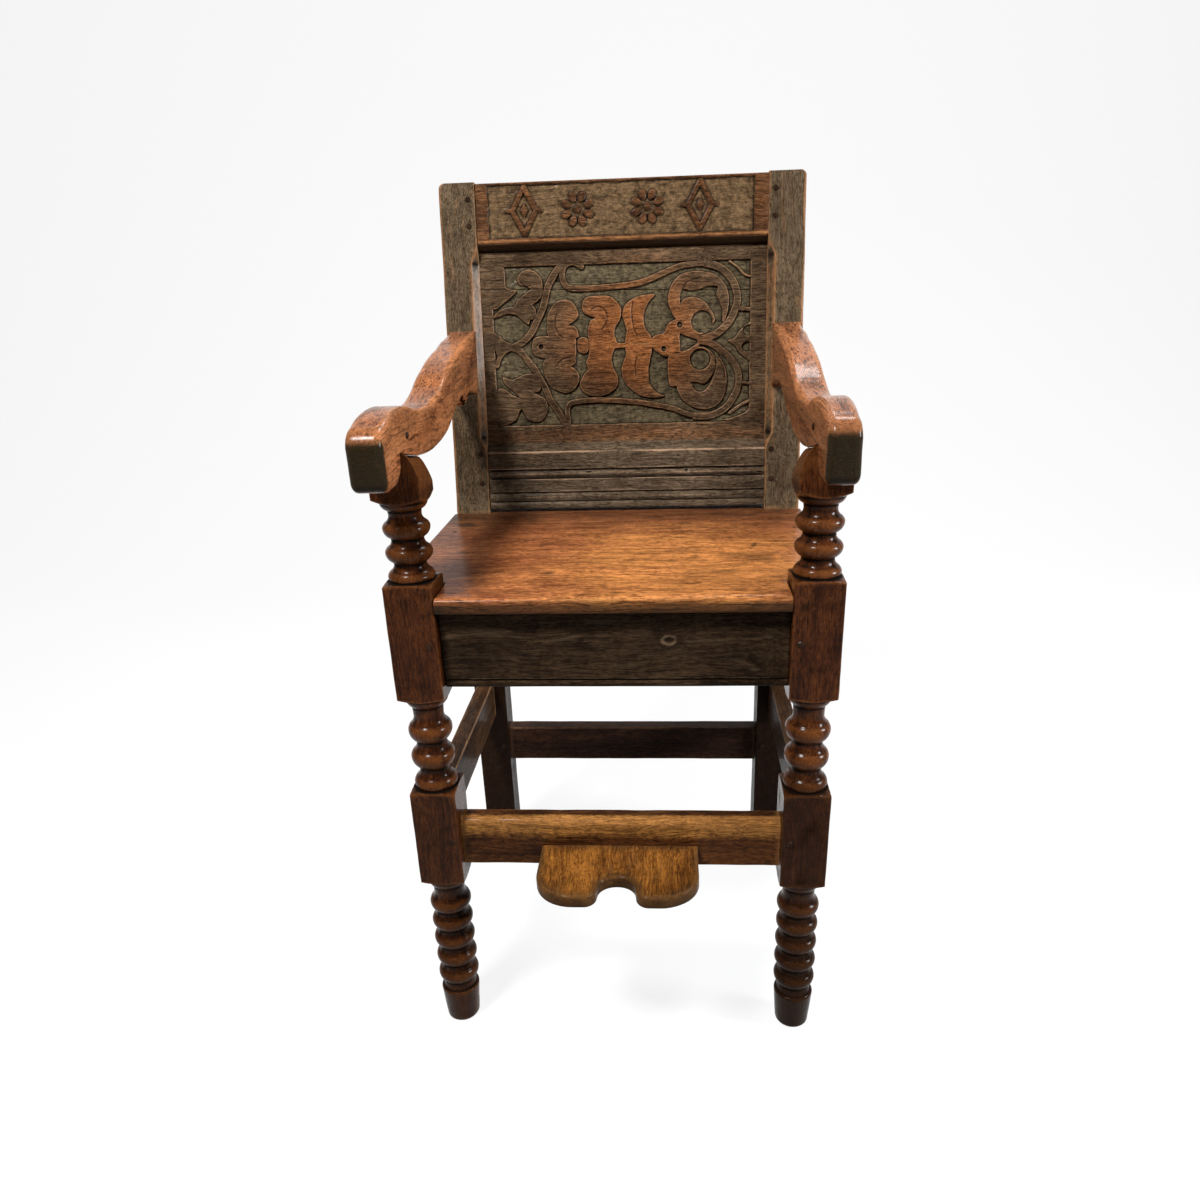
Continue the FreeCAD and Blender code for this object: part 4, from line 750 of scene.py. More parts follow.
def arc(first, middle, last):
    """Points along the circle through three points."""
    one, two, three = (complex(*place) for place in (first, middle, last))
    centre = circle_centre(one, two, three)
    turns = [cmath.phase(place - centre) for place in (one, two, three)]
    if not (turns[0] <= turns[1] <= turns[2] or turns[0] >= turns[1] >= turns[2]):
        turns = [turn % (2 * math.pi) for turn in turns]
    angles = np.linspace(turns[0], turns[2], ARC_POINTS)
    radius = abs(one - centre)
    across = centre.real + radius * np.cos(angles)
    return np.stack([across, centre.imag + radius * np.sin(angles)], axis=1)


def outline_of(path):
    """Join corners with straight lines, and with arcs where a bend stands between."""
    points = []
    for place, (kind, across, high) in enumerate(path):
        if kind == "bend":
            curve = arc(path[place - 1][1:], (across, high), path[(place + 1) % len(path)][1:])
            points += [tuple(spot) for spot in curve[1:-1]]
        else:
            points.append((across, high))
    return np.array(points)


def placed(spots, start, reach):
    """Corners and bends whose places are given as shares of a reach from a start."""
    return [
        (kind, start[0] + reach[0] * across, start[1] + reach[1] * up) for kind, across, up in spots
    ]


# Shares of the way out from neck to ring, and of the pitch up from the ring's crown
RING = (
    ("corner", 1, 0),
    ("bend", 0.8, 0.13),
    ("corner", 0.45, 0.22),
    ("bend", 0.1, 0.36),
    ("corner", 0, 0.5),
)
SEATED_FOOT = (("corner", 0.78, -CROWN_SHARE), ("bend", 0.95, -CROWN_SHARE * 0.55))
CREASED_FOOT = (("corner", 0.1, -CREASE_SHARE), ("bend", 0.75, -0.26))


def rings_of(start_at, pitch, count, neck, seated=True):
    """Rings upward from start_at: full and round below the crown, hollowed above it.

    A seated ring has no crease below it, because it sits on the block.
    """
    path = []
    for turn in range(count):
        foot = SEATED_FOOT if seated and turn == 0 else CREASED_FOOT
        crown = start_at + pitch * (CROWN_SHARE + turn)
        path += placed(foot + RING, (neck, crown), (RING_RADIUS - neck, pitch))
    return path


def shoulder_of(neck, block_foot, pitch, full_share, neck_share):
    """The round under a block's lathe-cut foot, full as far down as full_share of a pitch."""
    spots = (
        ("corner", 0.08, -neck_share),
        ("bend", 0.68, -(full_share + neck_share) * 0.55),
        ("corner", 1, -full_share),
    )
    path = placed(spots, (neck, block_foot), (RING_RADIUS - neck, pitch))
    return path + [("corner", CLEAR_RADIUS, block_foot + pitch * 0.05)]


# %% Heights of the blocks, and the turning between them
ARM_TENON_HEIGHT = 24
ARM_BLOCK_HEIGHT = 42
BLOCK_ABOVE_SEAT = 14
BLOCK_BELOW_RAIL = 10
BLOCK_ABOVE_STRETCHER = 28
BLOCK_BELOW_STRETCHER = 19
FOOT_HEIGHT = 47
FOOT_RADIUS = 22.8
FOOT_TIP_RADIUS = 19.8
FOOT_EDGE = 5
FOOT_PITCHES = 6.35
FIRST_CROWN = 0.85
RING_PITCHES = 3.5

arm_seat = post_high[2] - ARM_TENON_HEIGHT
arm_block_foot = arm_seat - ARM_BLOCK_HEIGHT
seat_block_top = seat_top + BLOCK_ABOVE_SEAT
seat_block_foot = span("front_seat_rail")[0][2] - BLOCK_BELOW_RAIL
low_block_top = span("side_stretcher_right")[1][2] + BLOCK_ABOVE_STRETCHER
low_block_foot = span("front_stretcher")[0][2] - BLOCK_BELOW_STRETCHER


def turning(foot, head, full_share, neck_share):
    """Three rings between a block below and a block above."""
    pitch = (head - foot) / RING_PITCHES
    path = [("corner", CLEAR_RADIUS, foot - POMMEL_FALL)]
    path += rings_of(foot, pitch, 3, NECK_RADIUS)
    return path + shoulder_of(NECK_RADIUS, head, pitch, full_share, neck_share)


def foot_turning():
    """A plain foot that narrows to the floor, and five rings above it."""
    neck = FOOT_NECK_RADIUS
    pitch = (low_block_foot - FOOT_HEIGHT) / FOOT_PITCHES
    first_crown = FOOT_HEIGHT + pitch * FIRST_CROWN
    bend = FOOT_EDGE * BEND_SHARE
    path = [
        ("corner", FOOT_TIP_RADIUS - FOOT_EDGE, 0),
        ("bend", FOOT_TIP_RADIUS - bend, bend),
        ("corner", FOOT_TIP_RADIUS, FOOT_EDGE),
        ("corner", FOOT_RADIUS, FOOT_HEIGHT - 2.5),
        ("bend", FOOT_RADIUS - 0.8, FOOT_HEIGHT - 0.4),
        ("corner", FOOT_RADIUS - 2.8, FOOT_HEIGHT + 0.8),
    ]
    path += rings_of(first_crown - pitch * CROWN_SHARE, pitch, 5, neck, seated=False)
    return path + shoulder_of(neck, low_block_foot, pitch, 0.15, 0.62)


paths = (
    foot_turning(),
    turning(low_block_top, seat_block_foot, 0.12, 0.46),
    turning(seat_block_top, arm_block_foot, 0.3, 0.62),
)
turned = np.concatenate([outline_of(path) for path in paths])
print("turned outline from", round(turned[0, 1]), "to", round(turned[-1, 1]), "mm")

# %% The post as a grid of heights and angles
POST_EDGE = 1.8
FLAT_COLUMNS = 12
EDGE_COLUMNS = 5


def eighth_turn(half):
    """Angles from the middle of a face to its corner, close where the edge is rounded."""
    flat = np.arctan(np.linspace(0, 1 - POST_EDGE / half, FLAT_COLUMNS, endpoint=False))
    last = math.atan(1 - POST_EDGE / half)
    return np.concatenate([flat, np.linspace(last, math.pi / 4, EDGE_COLUMNS + 1)])


def square_radius(angle, half):
    """How far a square's rounded outline lies from its middle."""
    folded = np.abs((angle + math.pi / 4) % (math.pi / 2) - math.pi / 4)
    inner = half - POST_EDGE
    flat = half / np.cos(folded)
    cosine = np.cos(folded)
    sine = np.sin(folded)
    rounding = inner * (cosine + sine) + np.sqrt(
        np.maximum(POST_EDGE**2 - (inner * (cosine - sine)) ** 2, 0)
    )
    return np.where(half * np.tan(folded) <= inner, flat, rounding)


def soft_least(one, two, blend):
    """The smaller of two radii, with the corner between them worn away."""
    share = np.clip(0.5 + 0.5 * (two - one) / blend, 0, 1)
    return two + (one - two) * share - blend * share * (1 - share)


def post_rows():
    """Heights of the grid's rows: close where the post is turned, wide on its blocks."""
    reaches = (
        (2, low_block_foot + 3, 0.75),
        (low_block_foot + 5, low_block_top - 7, 4),
        (low_block_top - 5, seat_block_foot + 3, 0.7),
        (seat_block_foot + 5, seat_block_top - 7, 4),
        (seat_block_top - 5, arm_block_foot + 4, 0.6),
    )
    return np.concatenate([(0, 0.5, 1.2), *(np.arange(*reach) for reach in reaches)])


print("rows up a front post:", len(post_rows()))

# %% Front posts
BLEND = 0.9
FINE_WEAR = 0.35
COARSE_WEAR = 0.45
ARM_BLOCK_FALL = 11
BLOCK_ROUND_ACROSS = 13.5
BLOCK_ROUND_UP = 26
TOP_SHARES = (0.15, 0.35, 0.6, 0.8, 0.93, 1.0)
SHOULDER_SHARES = (0.12, 0.4, 1.0)
POST_TENON_HALF = (9, 13)
POST_TENON_SHIFT = 7


def arm_rest_height(across_in, back):
    """Height of the sawn top of the arm's block, lower at the back and rounded inside."""
    plane = arm_seat - ARM_BLOCK_FALL * back / (post_high[0] - post_low[0])
    share = np.clip(across_in / BLOCK_ROUND_ACROSS, 0, 1)
    return plane - BLOCK_ROUND_UP * (1 - share) ** 1.7


def turned_rings(side, half, angles):
    """The rings of a front post from the floor to just under the sawn top of its arm block."""
    rows = post_rows()
    lathe = np.interp(rows, turned[:, 1], turned[:, 0])
    lathe = np.minimum(lathe, CLEAR_RADIUS)
    radius = soft_least(lathe[:, None], square_radius(angles, half)[None, :], BLEND)
    height = np.repeat(rows[:, None], len(angles), axis=1)
    cosine = np.repeat(np.cos(angles)[None, :], len(rows), axis=0)
    sine = np.repeat(np.sin(angles)[None, :], len(rows), axis=0)
    places = np.stack([radius * cosine * side, radius * sine, height], axis=-1).reshape(-1, 3)
    fine = wobble(places + 300 * side, 11, 31).reshape(radius.shape)
    coarse = wobble(places + 300 * side, 34, 37).reshape(radius.shape)
    radius = radius - FINE_WEAR * fine - COARSE_WEAR * coarse
    return list(np.stack([radius * cosine, radius * sine, height], axis=-1))


def front_post(side):
    """A whole front post: its turning, the sawn top of its arm block, and its tenon."""
    half = (post_high[0] - post_low[0]) / 2
    eighth = eighth_turn(half)
    quarter = np.concatenate([eighth, math.pi / 2 - eighth[-2:0:-1]])
    angles = np.concatenate([quarter + turn * math.pi / 2 for turn in range(4)])
    rings = turned_rings(side, half, angles)
    across, back, tall = rings[-1].T
    high = arm_rest_height(half + across * side, back + half)
    for share in TOP_SHARES:
        rings.append(np.stack([across, back, tall + (high - tall) * share], axis=1))
    reach = np.minimum(
        POST_TENON_HALF[0] / np.maximum(np.abs(np.cos(angles)), 1e-6),
        POST_TENON_HALF[1] / np.maximum(np.abs(np.sin(angles)), 1e-6),
    )
    tenon_across = reach * np.cos(angles) + POST_TENON_SHIFT * side
    tenon_back = reach * np.sin(angles)
    for share in SHOULDER_SHARES:
        ring_x = across + (tenon_across - across) * share
        ring_y = back + (tenon_back - back) * share
        high = arm_rest_height(half + ring_x * side, ring_y + half)
        rings.append(np.stack([ring_x, ring_y, high], axis=1))
    top = np.full(len(angles), post_high[2])
    rings.append(np.stack([tenon_across, tenon_back, top], axis=1))
    return loft(np.array(rings) + (side * (post_high[0] - half), half, 0))


FLOOR_DARKENING_HEAD = 30
LOW_BLOCK_SHADE_RISE = 40
LOW_BLOCK_SHADE = {-1: 0.15, 1: 0.5}
for side, word in SIDES:
    shape = front_post(side)
    tall = shape[0][:, 2]
    # Both posts darken towards the floor, and painted shade darkens them below the low block's top,
    # the right post most.
    near_floor = soft_step(-tall, -low_block_foot, -FLOOR_DARKENING_HEAD) * 0.35
    low_block_shade = soft_step(-tall, -low_block_top - LOW_BLOCK_SHADE_RISE, -low_block_top) * LOW_BLOCK_SHADE[side]
    dress(f"front_post_{word}", shape, "front_posts", {"stain_and_shade": near_floor + low_block_shade}, steps=30)

# %% [markdown]
# ## Rear posts
#
# They stand square as far as the seat, then are sawn with a lean. The inner corner
# beside the panel has a stopped chamfer, and the tops are worn round outside.

# %% Rear posts
STOP_CHAMFER = 8.5
CHAMFER_FOOT = 77
CHAMFER_HEAD = 336
CHAMFER_TAPER = 22
TOP_ROUND = 7
TOP_TURNS = np.radians([15, 35, 55, 75])
TOP_DRAWN_IN = 0.94
STILE_EDGE = 2.2
STILE_EASE = 0.7
BEND_BELOW = 7
BEND_ABOVE = 3


def stile_section(side, place, leaning):
    """One section of a rear post, at a height or a place up the slope."""
    inner = side * stile_low[0]
    outer = side * stile_high[0]
    chamfer = 0.0
    if leaning:
        run_in = min(place - CHAMFER_FOOT, CHAMFER_HEAD - place) / CHAMFER_TAPER
        chamfer = STOP_CHAMFER * min(1, max(0, run_in))
        above = place - (slope_length - TOP_ROUND)
        if above > 0:
            outer -= side * (TOP_ROUND - math.sqrt(max(TOP_ROUND**2 - above**2, 0)))
    worn = [
        STILE_EDGE * (0.4 + 1.2 * wobble([[place, corner * 70 + side * 300]], 30, 43)[0])
        for corner in range(4)
    ]
    inner_front = 0 if side > 0 else 1
    worn[inner_front] = max(worn[inner_front] * 0.6, chamfer)
    flat = [0.0] * 4
    flat[inner_front] = min(1, chamfer / STOP_CHAMFER * 1.4)
    low = (min(inner, outer), 0)
    high = (max(inner, outer), STILE_DEPTH)
    outline = section(low, high, worn, flat)
    ring = np.stack([outline[:, 0], outline[:, 1], np.full(len(outline), place)], axis=1)
    centre = np.array([(inner + outer) / 2, STILE_DEPTH / 2, place])
    ring = eased(ring, centre, STILE_EASE, 47 + side)
    if leaning:
        return lean_back(ring)
    return ring + (0, stile_front, 0)


def rear_post(side):
    """A whole rear post, square to just under the seat and leaning from just above it."""
    below = stations(0, seat_top - BEND_BELOW, 6)
    above = stations(BEND_ABOVE, slope_length, 5)
    rounded = slope_length - TOP_ROUND * (1 - np.sin(TOP_TURNS))
    above = np.unique(np.concatenate([above, rounded]))
    rings = [stile_section(side, place, False) for place in below]
    rings += [stile_section(side, place, True) for place in above]
    top = rings[-1]
    middle = top.mean(axis=0)
    rings[-1] = middle + (top - middle) * TOP_DRAWN_IN
    return loft(rings)


for side, word in SIDES:
    shape = rear_post(side)
    # Below the seat the posts are darkened to the stained colour: painted shade under the seat.
    under_seat = 0.95 * soft_step(-shape[0][:, 2], -seat_top, 40 - seat_top)
    dress(f"rear_post_{word}", shape, "rear_posts", {"stain_and_shade": under_seat})

# %% [markdown]
# ## Arms
#
# An arm is sawn from a plank to its side view, and its edges are then rounded by rasp
# and by hands. It is built from that view: the outline repeated across the plank, drawn
# in a little on both faces. The hollow top, the belly and the drooping handgrip are arcs.

# %% The arm's side view
ARM_NOSE = 55
ARM_REAR_RISE = 88
ARM_REAR_FOOT_SHARE = 0.125
ARM_SEAT_RUN = 56
GRIP_GAP = 1.5
ARM_FALL_SHARE = 11 / 50
ARM_POINT_STEP = 2.2

# Places as shares of the way back to the rear post, or out to the nose, and of the rise
ARM_TOP = (
    ("bend", 0.895, 0.873),
    ("corner", 0.682, 0.698),
    ("bend", 0.6137, 0.619),
    ("corner", 0.5475, 0.516),
    ("bend", 0.3643, 0.3295),
    ("corner", 0.176, 0.395),
    ("bend", 0.0342, 0.46),
)
ARM_GRIP = (
    ("corner", -0.667, 0.361),
    ("bend", -0.9, 0.285),
    ("corner", -0.99, 0.16),
    ("corner", -0.94, -0.17),
    ("bend", -0.875, -0.275),
    ("corner", -0.7, -0.31),
    ("corner", -0.42, -0.31),
    ("bend", -0.16, -0.26),
)
ARM_BELLY = (("bend", 0.33, -0.212), ("corner", 0.56, -0.115), ("bend", 0.68, 0.034))
WHOLE_EDGE = (("corner", 0.79, 0.195), ("bend", 0.94, 0.222))
SPLINTER_ROOTS = ((0.79, 0.2), (0.815, 0.2), (0.85, 0.19), (0.885, 0.2), (0.93, 0.21))
SPLINTER_TIPS = ((0.8, 0.12), (0.835, 0.06), (0.868, 0.11), (0.905, 0.13))
TORN_EDGE = tuple(("corner", *spot) for spot in sorted(SPLINTER_ROOTS + SPLINTER_TIPS))


def slope_back(high):
    """How far back the rear post's leaning front face lies at a height."""
    return stile_front + (high - seat_top) * BACK_LEAN / back_rise


def arm_path(torn):
    """Corners and bends of the arm's side view, back from the post's face and up.

    Where the left arm is torn, splinters hang from its lower edge beside the back.
    """
    start = (0, arm_seat)
    to_post = (stile_front, ARM_REAR_RISE)
    to_nose = (ARM_NOSE, ARM_REAR_RISE)
    rear_head = arm_seat + ARM_REAR_RISE
    rear_foot = arm_seat + ARM_REAR_RISE * ARM_REAR_FOOT_SHARE
    return [
        ("corner", slope_back(rear_head), rear_head),
        *placed(ARM_TOP, start, to_post),
        *placed(ARM_GRIP, start, to_nose),
        ("corner", -GRIP_GAP, arm_seat - ARM_REAR_RISE * 0.1),
        ("corner", -GRIP_GAP, arm_seat + GRIP_GAP * ARM_FALL_SHARE),
        ("corner", ARM_SEAT_RUN, arm_seat - ARM_SEAT_RUN * ARM_FALL_SHARE),
        *placed(ARM_BELLY, start, to_post),
        *placed(TORN_EDGE if torn else WHOLE_EDGE, start, to_post),
        ("corner", slope_back(rear_foot), rear_foot),
    ]


def even_steps(outline, step):
    """The closed outline again, with points a step apart and its corners kept."""
    points = []
    for first, last in zip(outline, np.roll(outline, -1, axis=0)):
        count = max(1, round(float(np.linalg.norm(last - first)) / step))
        points += [first + (last - first) * share / count for share in range(count)]
    return np.array(points)


def inward_ways(outline):
    """For each point of a closed outline, the way straight in from it."""
    after = np.roll(outline, -1, axis=0)
    tangent = after - np.roll(outline, 1, axis=0)
    area = np.sum(outline[:, 0] * after[:, 1] - outline[:, 1] * after[:, 0])
    ways = np.stack([-tangent[:, 1], tangent[:, 0]], axis=1) * np.sign(area)
    return ways / (np.linalg.norm(ways, axis=1)[:, None] + 1e-9)


arm_outlines = {
    side: even_steps(outline_of(arm_path(torn=side < 0)), ARM_POINT_STEP) for side in (-1, 1)
}
print("points round an arm:", len(arm_outlines[1]))

# %% Arms
ARM_EDGE = 6.5
TIP_EDGE = 5.6
JOINT_EDGE = 0.8
GRIP_NARROWING = {-1: 1.5, 1: 5.5}
ROUND_TURNS = np.radians([0, 12, 27, 45, 63, 78, 90])
WIDTH_SHARES = np.linspace(0, 1, 9)[1:-1]
ARM_TENON_HALF = 5
ARM_TENON_FOOT = 26
ARM_TENON_RISE = 48
ARM_TENON_ROOT = 12

# Where the arm sits on its post, and where its handgrip's tip begins
JOINT_FRONT = -4
JOINT_BACK = 62
JOINT_ABOVE = 3
WALL_REACH = 3
TIP_BACK = -38
TIP_BELOW = 6
GRIP_START = 60
GRIP_RUN = 90


def box_shape(low, high):
    """A plain closed block, for a tenon that no one sees."""
    outline = section(low[:2], high[:2], (0.4,) * 4)
    rings = [np.column_stack([outline, np.full(len(outline), tall)]) for tall in (low[2], high[2])]
    return loft(rings)


def evened(values, times):
    """Values round a closed outline, each drawn towards its neighbours again and again."""
    for _ in range(times):
        values = (np.roll(values, 1) + values * 2 + np.roll(values, -1)) / 4
    return values


def arm_edge(side, back, tall):
    """How round the arm's edges are worn at each point of its side view."""
    at_joint = (back > JOINT_FRONT) & (back < JOINT_BACK) & (tall < arm_seat + JOINT_ABOVE)
    at_wall = back > slope_back(tall) - WALL_REACH
    at_tip = (back < TIP_BACK) & (tall < arm_seat - TIP_BELOW)
    edge = np.where(at_joint | at_wall, JOINT_EDGE, np.where(at_tip, TIP_EDGE, ARM_EDGE))
    return evened(edge * (0.65 + 0.6 * wobble(arm_outlines[side] + side * 400, 26, 53)), 6)


def arm(side):
    """One arm, from the face towards the sitter outward."""
    low, high = span("arm_right")
    arm_outline = arm_outlines[side]
    back, tall = arm_outline.T
    ways = inward_ways(arm_outline)
    edge = arm_edge(side, back, tall)
    grip = np.clip((GRIP_START - back) / GRIP_RUN, 0, 1)
    inner = low[0] + 0.8 * wobble(arm_outline, 45, 59)
    outer = high[0] - GRIP_NARROWING[side] * grip - 0.9 * wobble(arm_outline, 45, 61)
    insets = [edge * (1 - math.sin(turn)) for turn in ROUND_TURNS]
    falls = [edge * (1 - math.cos(turn)) for turn in ROUND_TURNS]
    layers = [(inner + fall, inset) for fall, inset in zip(falls, insets)]
    between = outer - inner - 2 * edge
    layers += [(inner + edge + between * share, 0 * edge) for share in WIDTH_SHARES]
    layers += [(outer - fall, inset) for fall, inset in zip(falls[::-1], insets[::-1])]
    rings = []
    for across, inset in layers:
        ring = np.column_stack([across * side, arm_outline + ways * inset[:, None]])
        dents = 0.5 * wobble(ring, 30, 67 + side) + 0.35 * wobble(ring, 9, 71 + side)
        ring[:, 1:] += ways * dents[:, None]
        rings.append(ring)
    tenon_middle = (low[0] + high[0]) / 2 * side
    tenon_foot = arm_seat + ARM_TENON_FOOT
    tenon_root = slope_back(arm_seat + 50) - ARM_TENON_ROOT
    tenon = box_shape(
        (tenon_middle - ARM_TENON_HALF, tenon_root, tenon_foot),
        (tenon_middle + ARM_TENON_HALF, high[1], tenon_foot + ARM_TENON_RISE),
    )
    return together(loft(rings), tenon)


# Dirt in the handgrip's end grain and painted shade on its front face darken it, from this
# far ahead of the post and up to this high
END_GRAIN_AHEAD = (44, 50)
END_GRAIN_HEAD = (24, 14)
for side, word in SIDES:
    shape = arm(side)
    across, back, tall = shape[0].T
    end_grain_and_shade = soft_step(-back, *END_GRAIN_AHEAD)
    end_grain_and_shade *= soft_step(-tall, *(-arm_seat - height for height in END_GRAIN_HEAD))
    end_grain_and_shade *= 0.9 + 0.6 * wobble(shape[0], 14, 179)
    dress(f"arm_{word}", shape, "arms", {"stain_and_shade": np.clip(end_grain_and_shade, 0, 1)})

# %% [markdown]
# ## Boards with a worked face
#
# The carved panel, both moulded rails, the apron and the seat are boards whose shown
# face carries the work. The face is a grid, fine enough for the tool that made it, and
# its rim is followed back by loops that close the board behind.

# %% A board's face, and the loops behind it


def grid(first, second):
    """Places of a grid, flat, with the quads between them."""
    one, two = np.meshgrid(first, second, indexing="ij")
    number = np.arange(one.size).reshape(one.shape)
    quads = np.stack([number[:-1, :-1], number[1:, :-1], number[1:, 1:], number[:-1, 1:]], axis=-1)
    return one.ravel(), two.ravel(), quads.reshape(-1, 4)


def rim_of(quads, total):
    """The points along the rim of a sheet of quads, in order."""
    starts = quads.ravel().astype(np.int64)
    ends = np.roll(quads, -1, axis=1).ravel().astype(np.int64)
    open_edge = ~np.isin(starts * total + ends, ends * total + starts)
    follow = dict(zip(starts[open_edge].tolist(), ends[open_edge].tolist()))
    rim = [next(iter(follow))]
    while follow[rim[-1]] != rim[0]:
        rim.append(follow[rim[-1]])
    return np.array(rim)


def backed(points, quads, back, *sizes):
    """Close a face behind with the loops that a kind of back gives for the face's rim."""
    rim = rim_of(quads, len(points))
    all_points = [points]
    all_quads = [quads]
    last = rim
    total = len(points)
    for loop in back(points[rim], *sizes):
        fresh = np.arange(total, total + len(rim))
        all_points.append(loop)
        all_quads.append(np.stack([last, fresh, np.roll(fresh, -1), np.roll(last, -1)], axis=1))
        last = fresh
        total += len(rim)
    points = np.concatenate(all_points)
    quads = np.concatenate(all_quads)
    return points, outward(points, quads, [last[::-1]])


# %% Lines and falls of a worked face


def lines(low, high, step, marks=()):
    """Grid lines from low to high, with close ones beside every mark."""
    places = list(np.linspace(low, high, round((high - low) / step) + 1))
    for mark in (low, high, *marks):
        places += [mark + offset for offset in (-3, -1.6, -0.7, 0, 0.7, 1.6, 3)]
    places = sorted(place for place in places if low <= place <= high)
    kept = [places[0]]
    for place in places[1:]:
        if place - kept[-1] > 0.25:
            kept.append(place)
    kept[-1] = high
    return np.array(kept)


def rounded_fall(distance, radius):
    """How far a rounded edge has fallen at a distance from it."""
    near = np.clip(radius - distance, 0, radius)
    return radius - np.sqrt(radius**2 - near**2)


def ends_set_back(across, shoulder):
    """Beyond the shoulders the board is a tenon, set back behind its face."""
    return np.where(np.abs(across) > shoulder + 0.01, TENON_SET_BACK, 0.0)


def ridge(places, middle, width):
    """One on a line, and softly less beside it."""
    return np.exp(-(((places - middle) / width) ** 2))


def patch(places, middle, reach):
    """One at a middle, and softly less round it, by how far it reaches both ways."""
    aside, along = ((places - middle) / reach).T
    return np.exp(-(aside**2) - along**2)


# %% Backs of the boards
BACK_SHARES = (1, 0.97, 0.92, 0.85)


def flat_back(rim, edge_depth, depth):
    """Loops over a board's edge, then flat ones drawn in towards its middle.

    The flat ones keep what marks the rim from running over the whole back.
    """
    middle = (rim.min(axis=0) + rim.max(axis=0)) / 2
    for loop_depth, share in ((edge_depth, 1), *((depth, share) for share in BACK_SHARES)):
        loop = middle + (rim - middle) * share
        loop[:, 1] = loop_depth
        yield loop


def dress_board(node, face, quads, marks, back, *sizes, **how):
    """Close a board behind its worked face, whose marks its back does not have."""
    shape = backed(face, quads, back, *sizes)
    behind = len(shape[0]) - len(face)
    for name, values in marks.items():
        marks[name] = np.append(values, np.full(behind, float(name == "raised")))
    dress(node, shape, node, marks, sharp=None, **how)


# %% [markdown]
# ## Moulded lower rail
#
# The rail under the panel was run with a scratch stock. From its top down there are a
# bevel, a wide flat, a hollow with a bead in it, a second flat, and two broad reeds.

# %% Lower rail
LOWER_RAIL_HEAD = 91.0
BEVEL_FOOT = 78
BEVEL_FALL = 10
FLAT_FOOT = 56.5
BEAD_HEAD = 54.0
BEAD_FOOT = 46.0
SECOND_FLAT_HEAD = 43.5
SECOND_FLAT_FOOT = 27.0
REEDS_HEAD = 25.4
REEDS_MEET = 14.2
LOWER_RAIL_FOOT = 4.7
HOLLOW_DEPTH = 2.4
REED_DEPTH = 2.2
EDGE_OF_BACK = 24.8
RAIL_BACK = 26
# Each worn arris, as a height up the rail and a strength: wear, and a painted highlight line,
# strongest at the bevel's foot.
ARRIS_WEAR_AND_HIGHLIGHTS = ((78.5, 1.1), (56.8, 0.7), (50, 0.5), (43.5, 0.7), (27, 0.5), (20, 0.4))


def reed(up, low, high, depth):
    """The face of a rounded reed between two heights, nought at its crown."""
    share = np.clip((up - (low + high) / 2) / ((high - low) / 2), -1, 1)
    return depth * share**2


def lower_rail_face(across, up):
    """Depth of the lower rail's face behind the front of the posts."""
    round_bevel = BEVEL_FALL * soft_step(up, BEVEL_FOOT - 0.5, LOWER_RAIL_HEAD)
    flat_bevel = BEVEL_FALL * np.clip((up - BEVEL_FOOT) / (LOWER_RAIL_HEAD - BEVEL_FOOT), 0, 1)
    bead = reed(up, BEAD_FOOT, BEAD_HEAD, REED_DEPTH) + 0.2
    deep = np.where(up > BEVEL_FOOT, round_bevel * 0.4 + flat_bevel * 0.6, 0.35)
    deep = np.where(up < FLAT_FOOT, HOLLOW_DEPTH, deep)
    deep = np.where((up < BEAD_HEAD) & (up > BEAD_FOOT), bead, deep)
    deep = np.where(up < SECOND_FLAT_HEAD, 0.5, deep)
    deep = np.where(up < SECOND_FLAT_FOOT, HOLLOW_DEPTH, deep)
    deep = np.where(up < REEDS_HEAD, reed(up, REEDS_MEET, REEDS_HEAD, REED_DEPTH), deep)
    deep = np.where(up < REEDS_MEET, reed(up, LOWER_RAIL_FOOT - 1, REEDS_MEET, REED_DEPTH), deep)
    places = np.column_stack([across, up])
    deep = deep + 0.5 * wobble(places, (60, 9), 73) + 0.35 * wobble(places, (14, 3), 74)
    chips = np.clip(wobble(places, (16, 4), 79) - 0.82, 0, 1) * 9
    return deep + chips * ((up > 44) & (up < 58))


def moulded_rail():
    low, high = span("lower_back_rail")
    shoulder = high[0] - TENON_LENGTH
    columns = lines(low[0], high[0], 2.2, (-shoulder, shoulder))
    across, up, quads = grid(columns, np.arange(LOWER_RAIL_FOOT, LOWER_RAIL_HEAD + 0.05, 0.62))
    deep = np.maximum(lower_rail_face(across, up), ends_set_back(across, shoulder))
    worn = sum(strength * ridge(up, place, 1.3) for place, strength in ARRIS_WEAR_AND_HIGHLIGHTS)
    worn *= 0.3 + 1.2 * wobble(np.column_stack([across, up]), (25, 6), 181)
    marks = {"worn": np.clip(worn, 0, 1)}
    face = np.stack([across, deep, up], axis=1)
    back = (flat_back, EDGE_OF_BACK, RAIL_BACK)
    dress_board("lower_back_rail", face, quads, marks, *back, leaning=True)


moulded_rail()

# %% [markdown]
# ## Carving
#
# The carver drew straps, leaves and rings on the board, cut the ground away round them
# and left them flat on top. Here the same figures are drawn as smooth lines through
# listed places: a strap is what lies within half its width of a line, and a leaf is
# what lies within an outline. How far a place lies inside decides its height.

# %% A smooth line
LINE_SHARES = np.linspace(0, 1, 6, endpoint=False)[:, None]


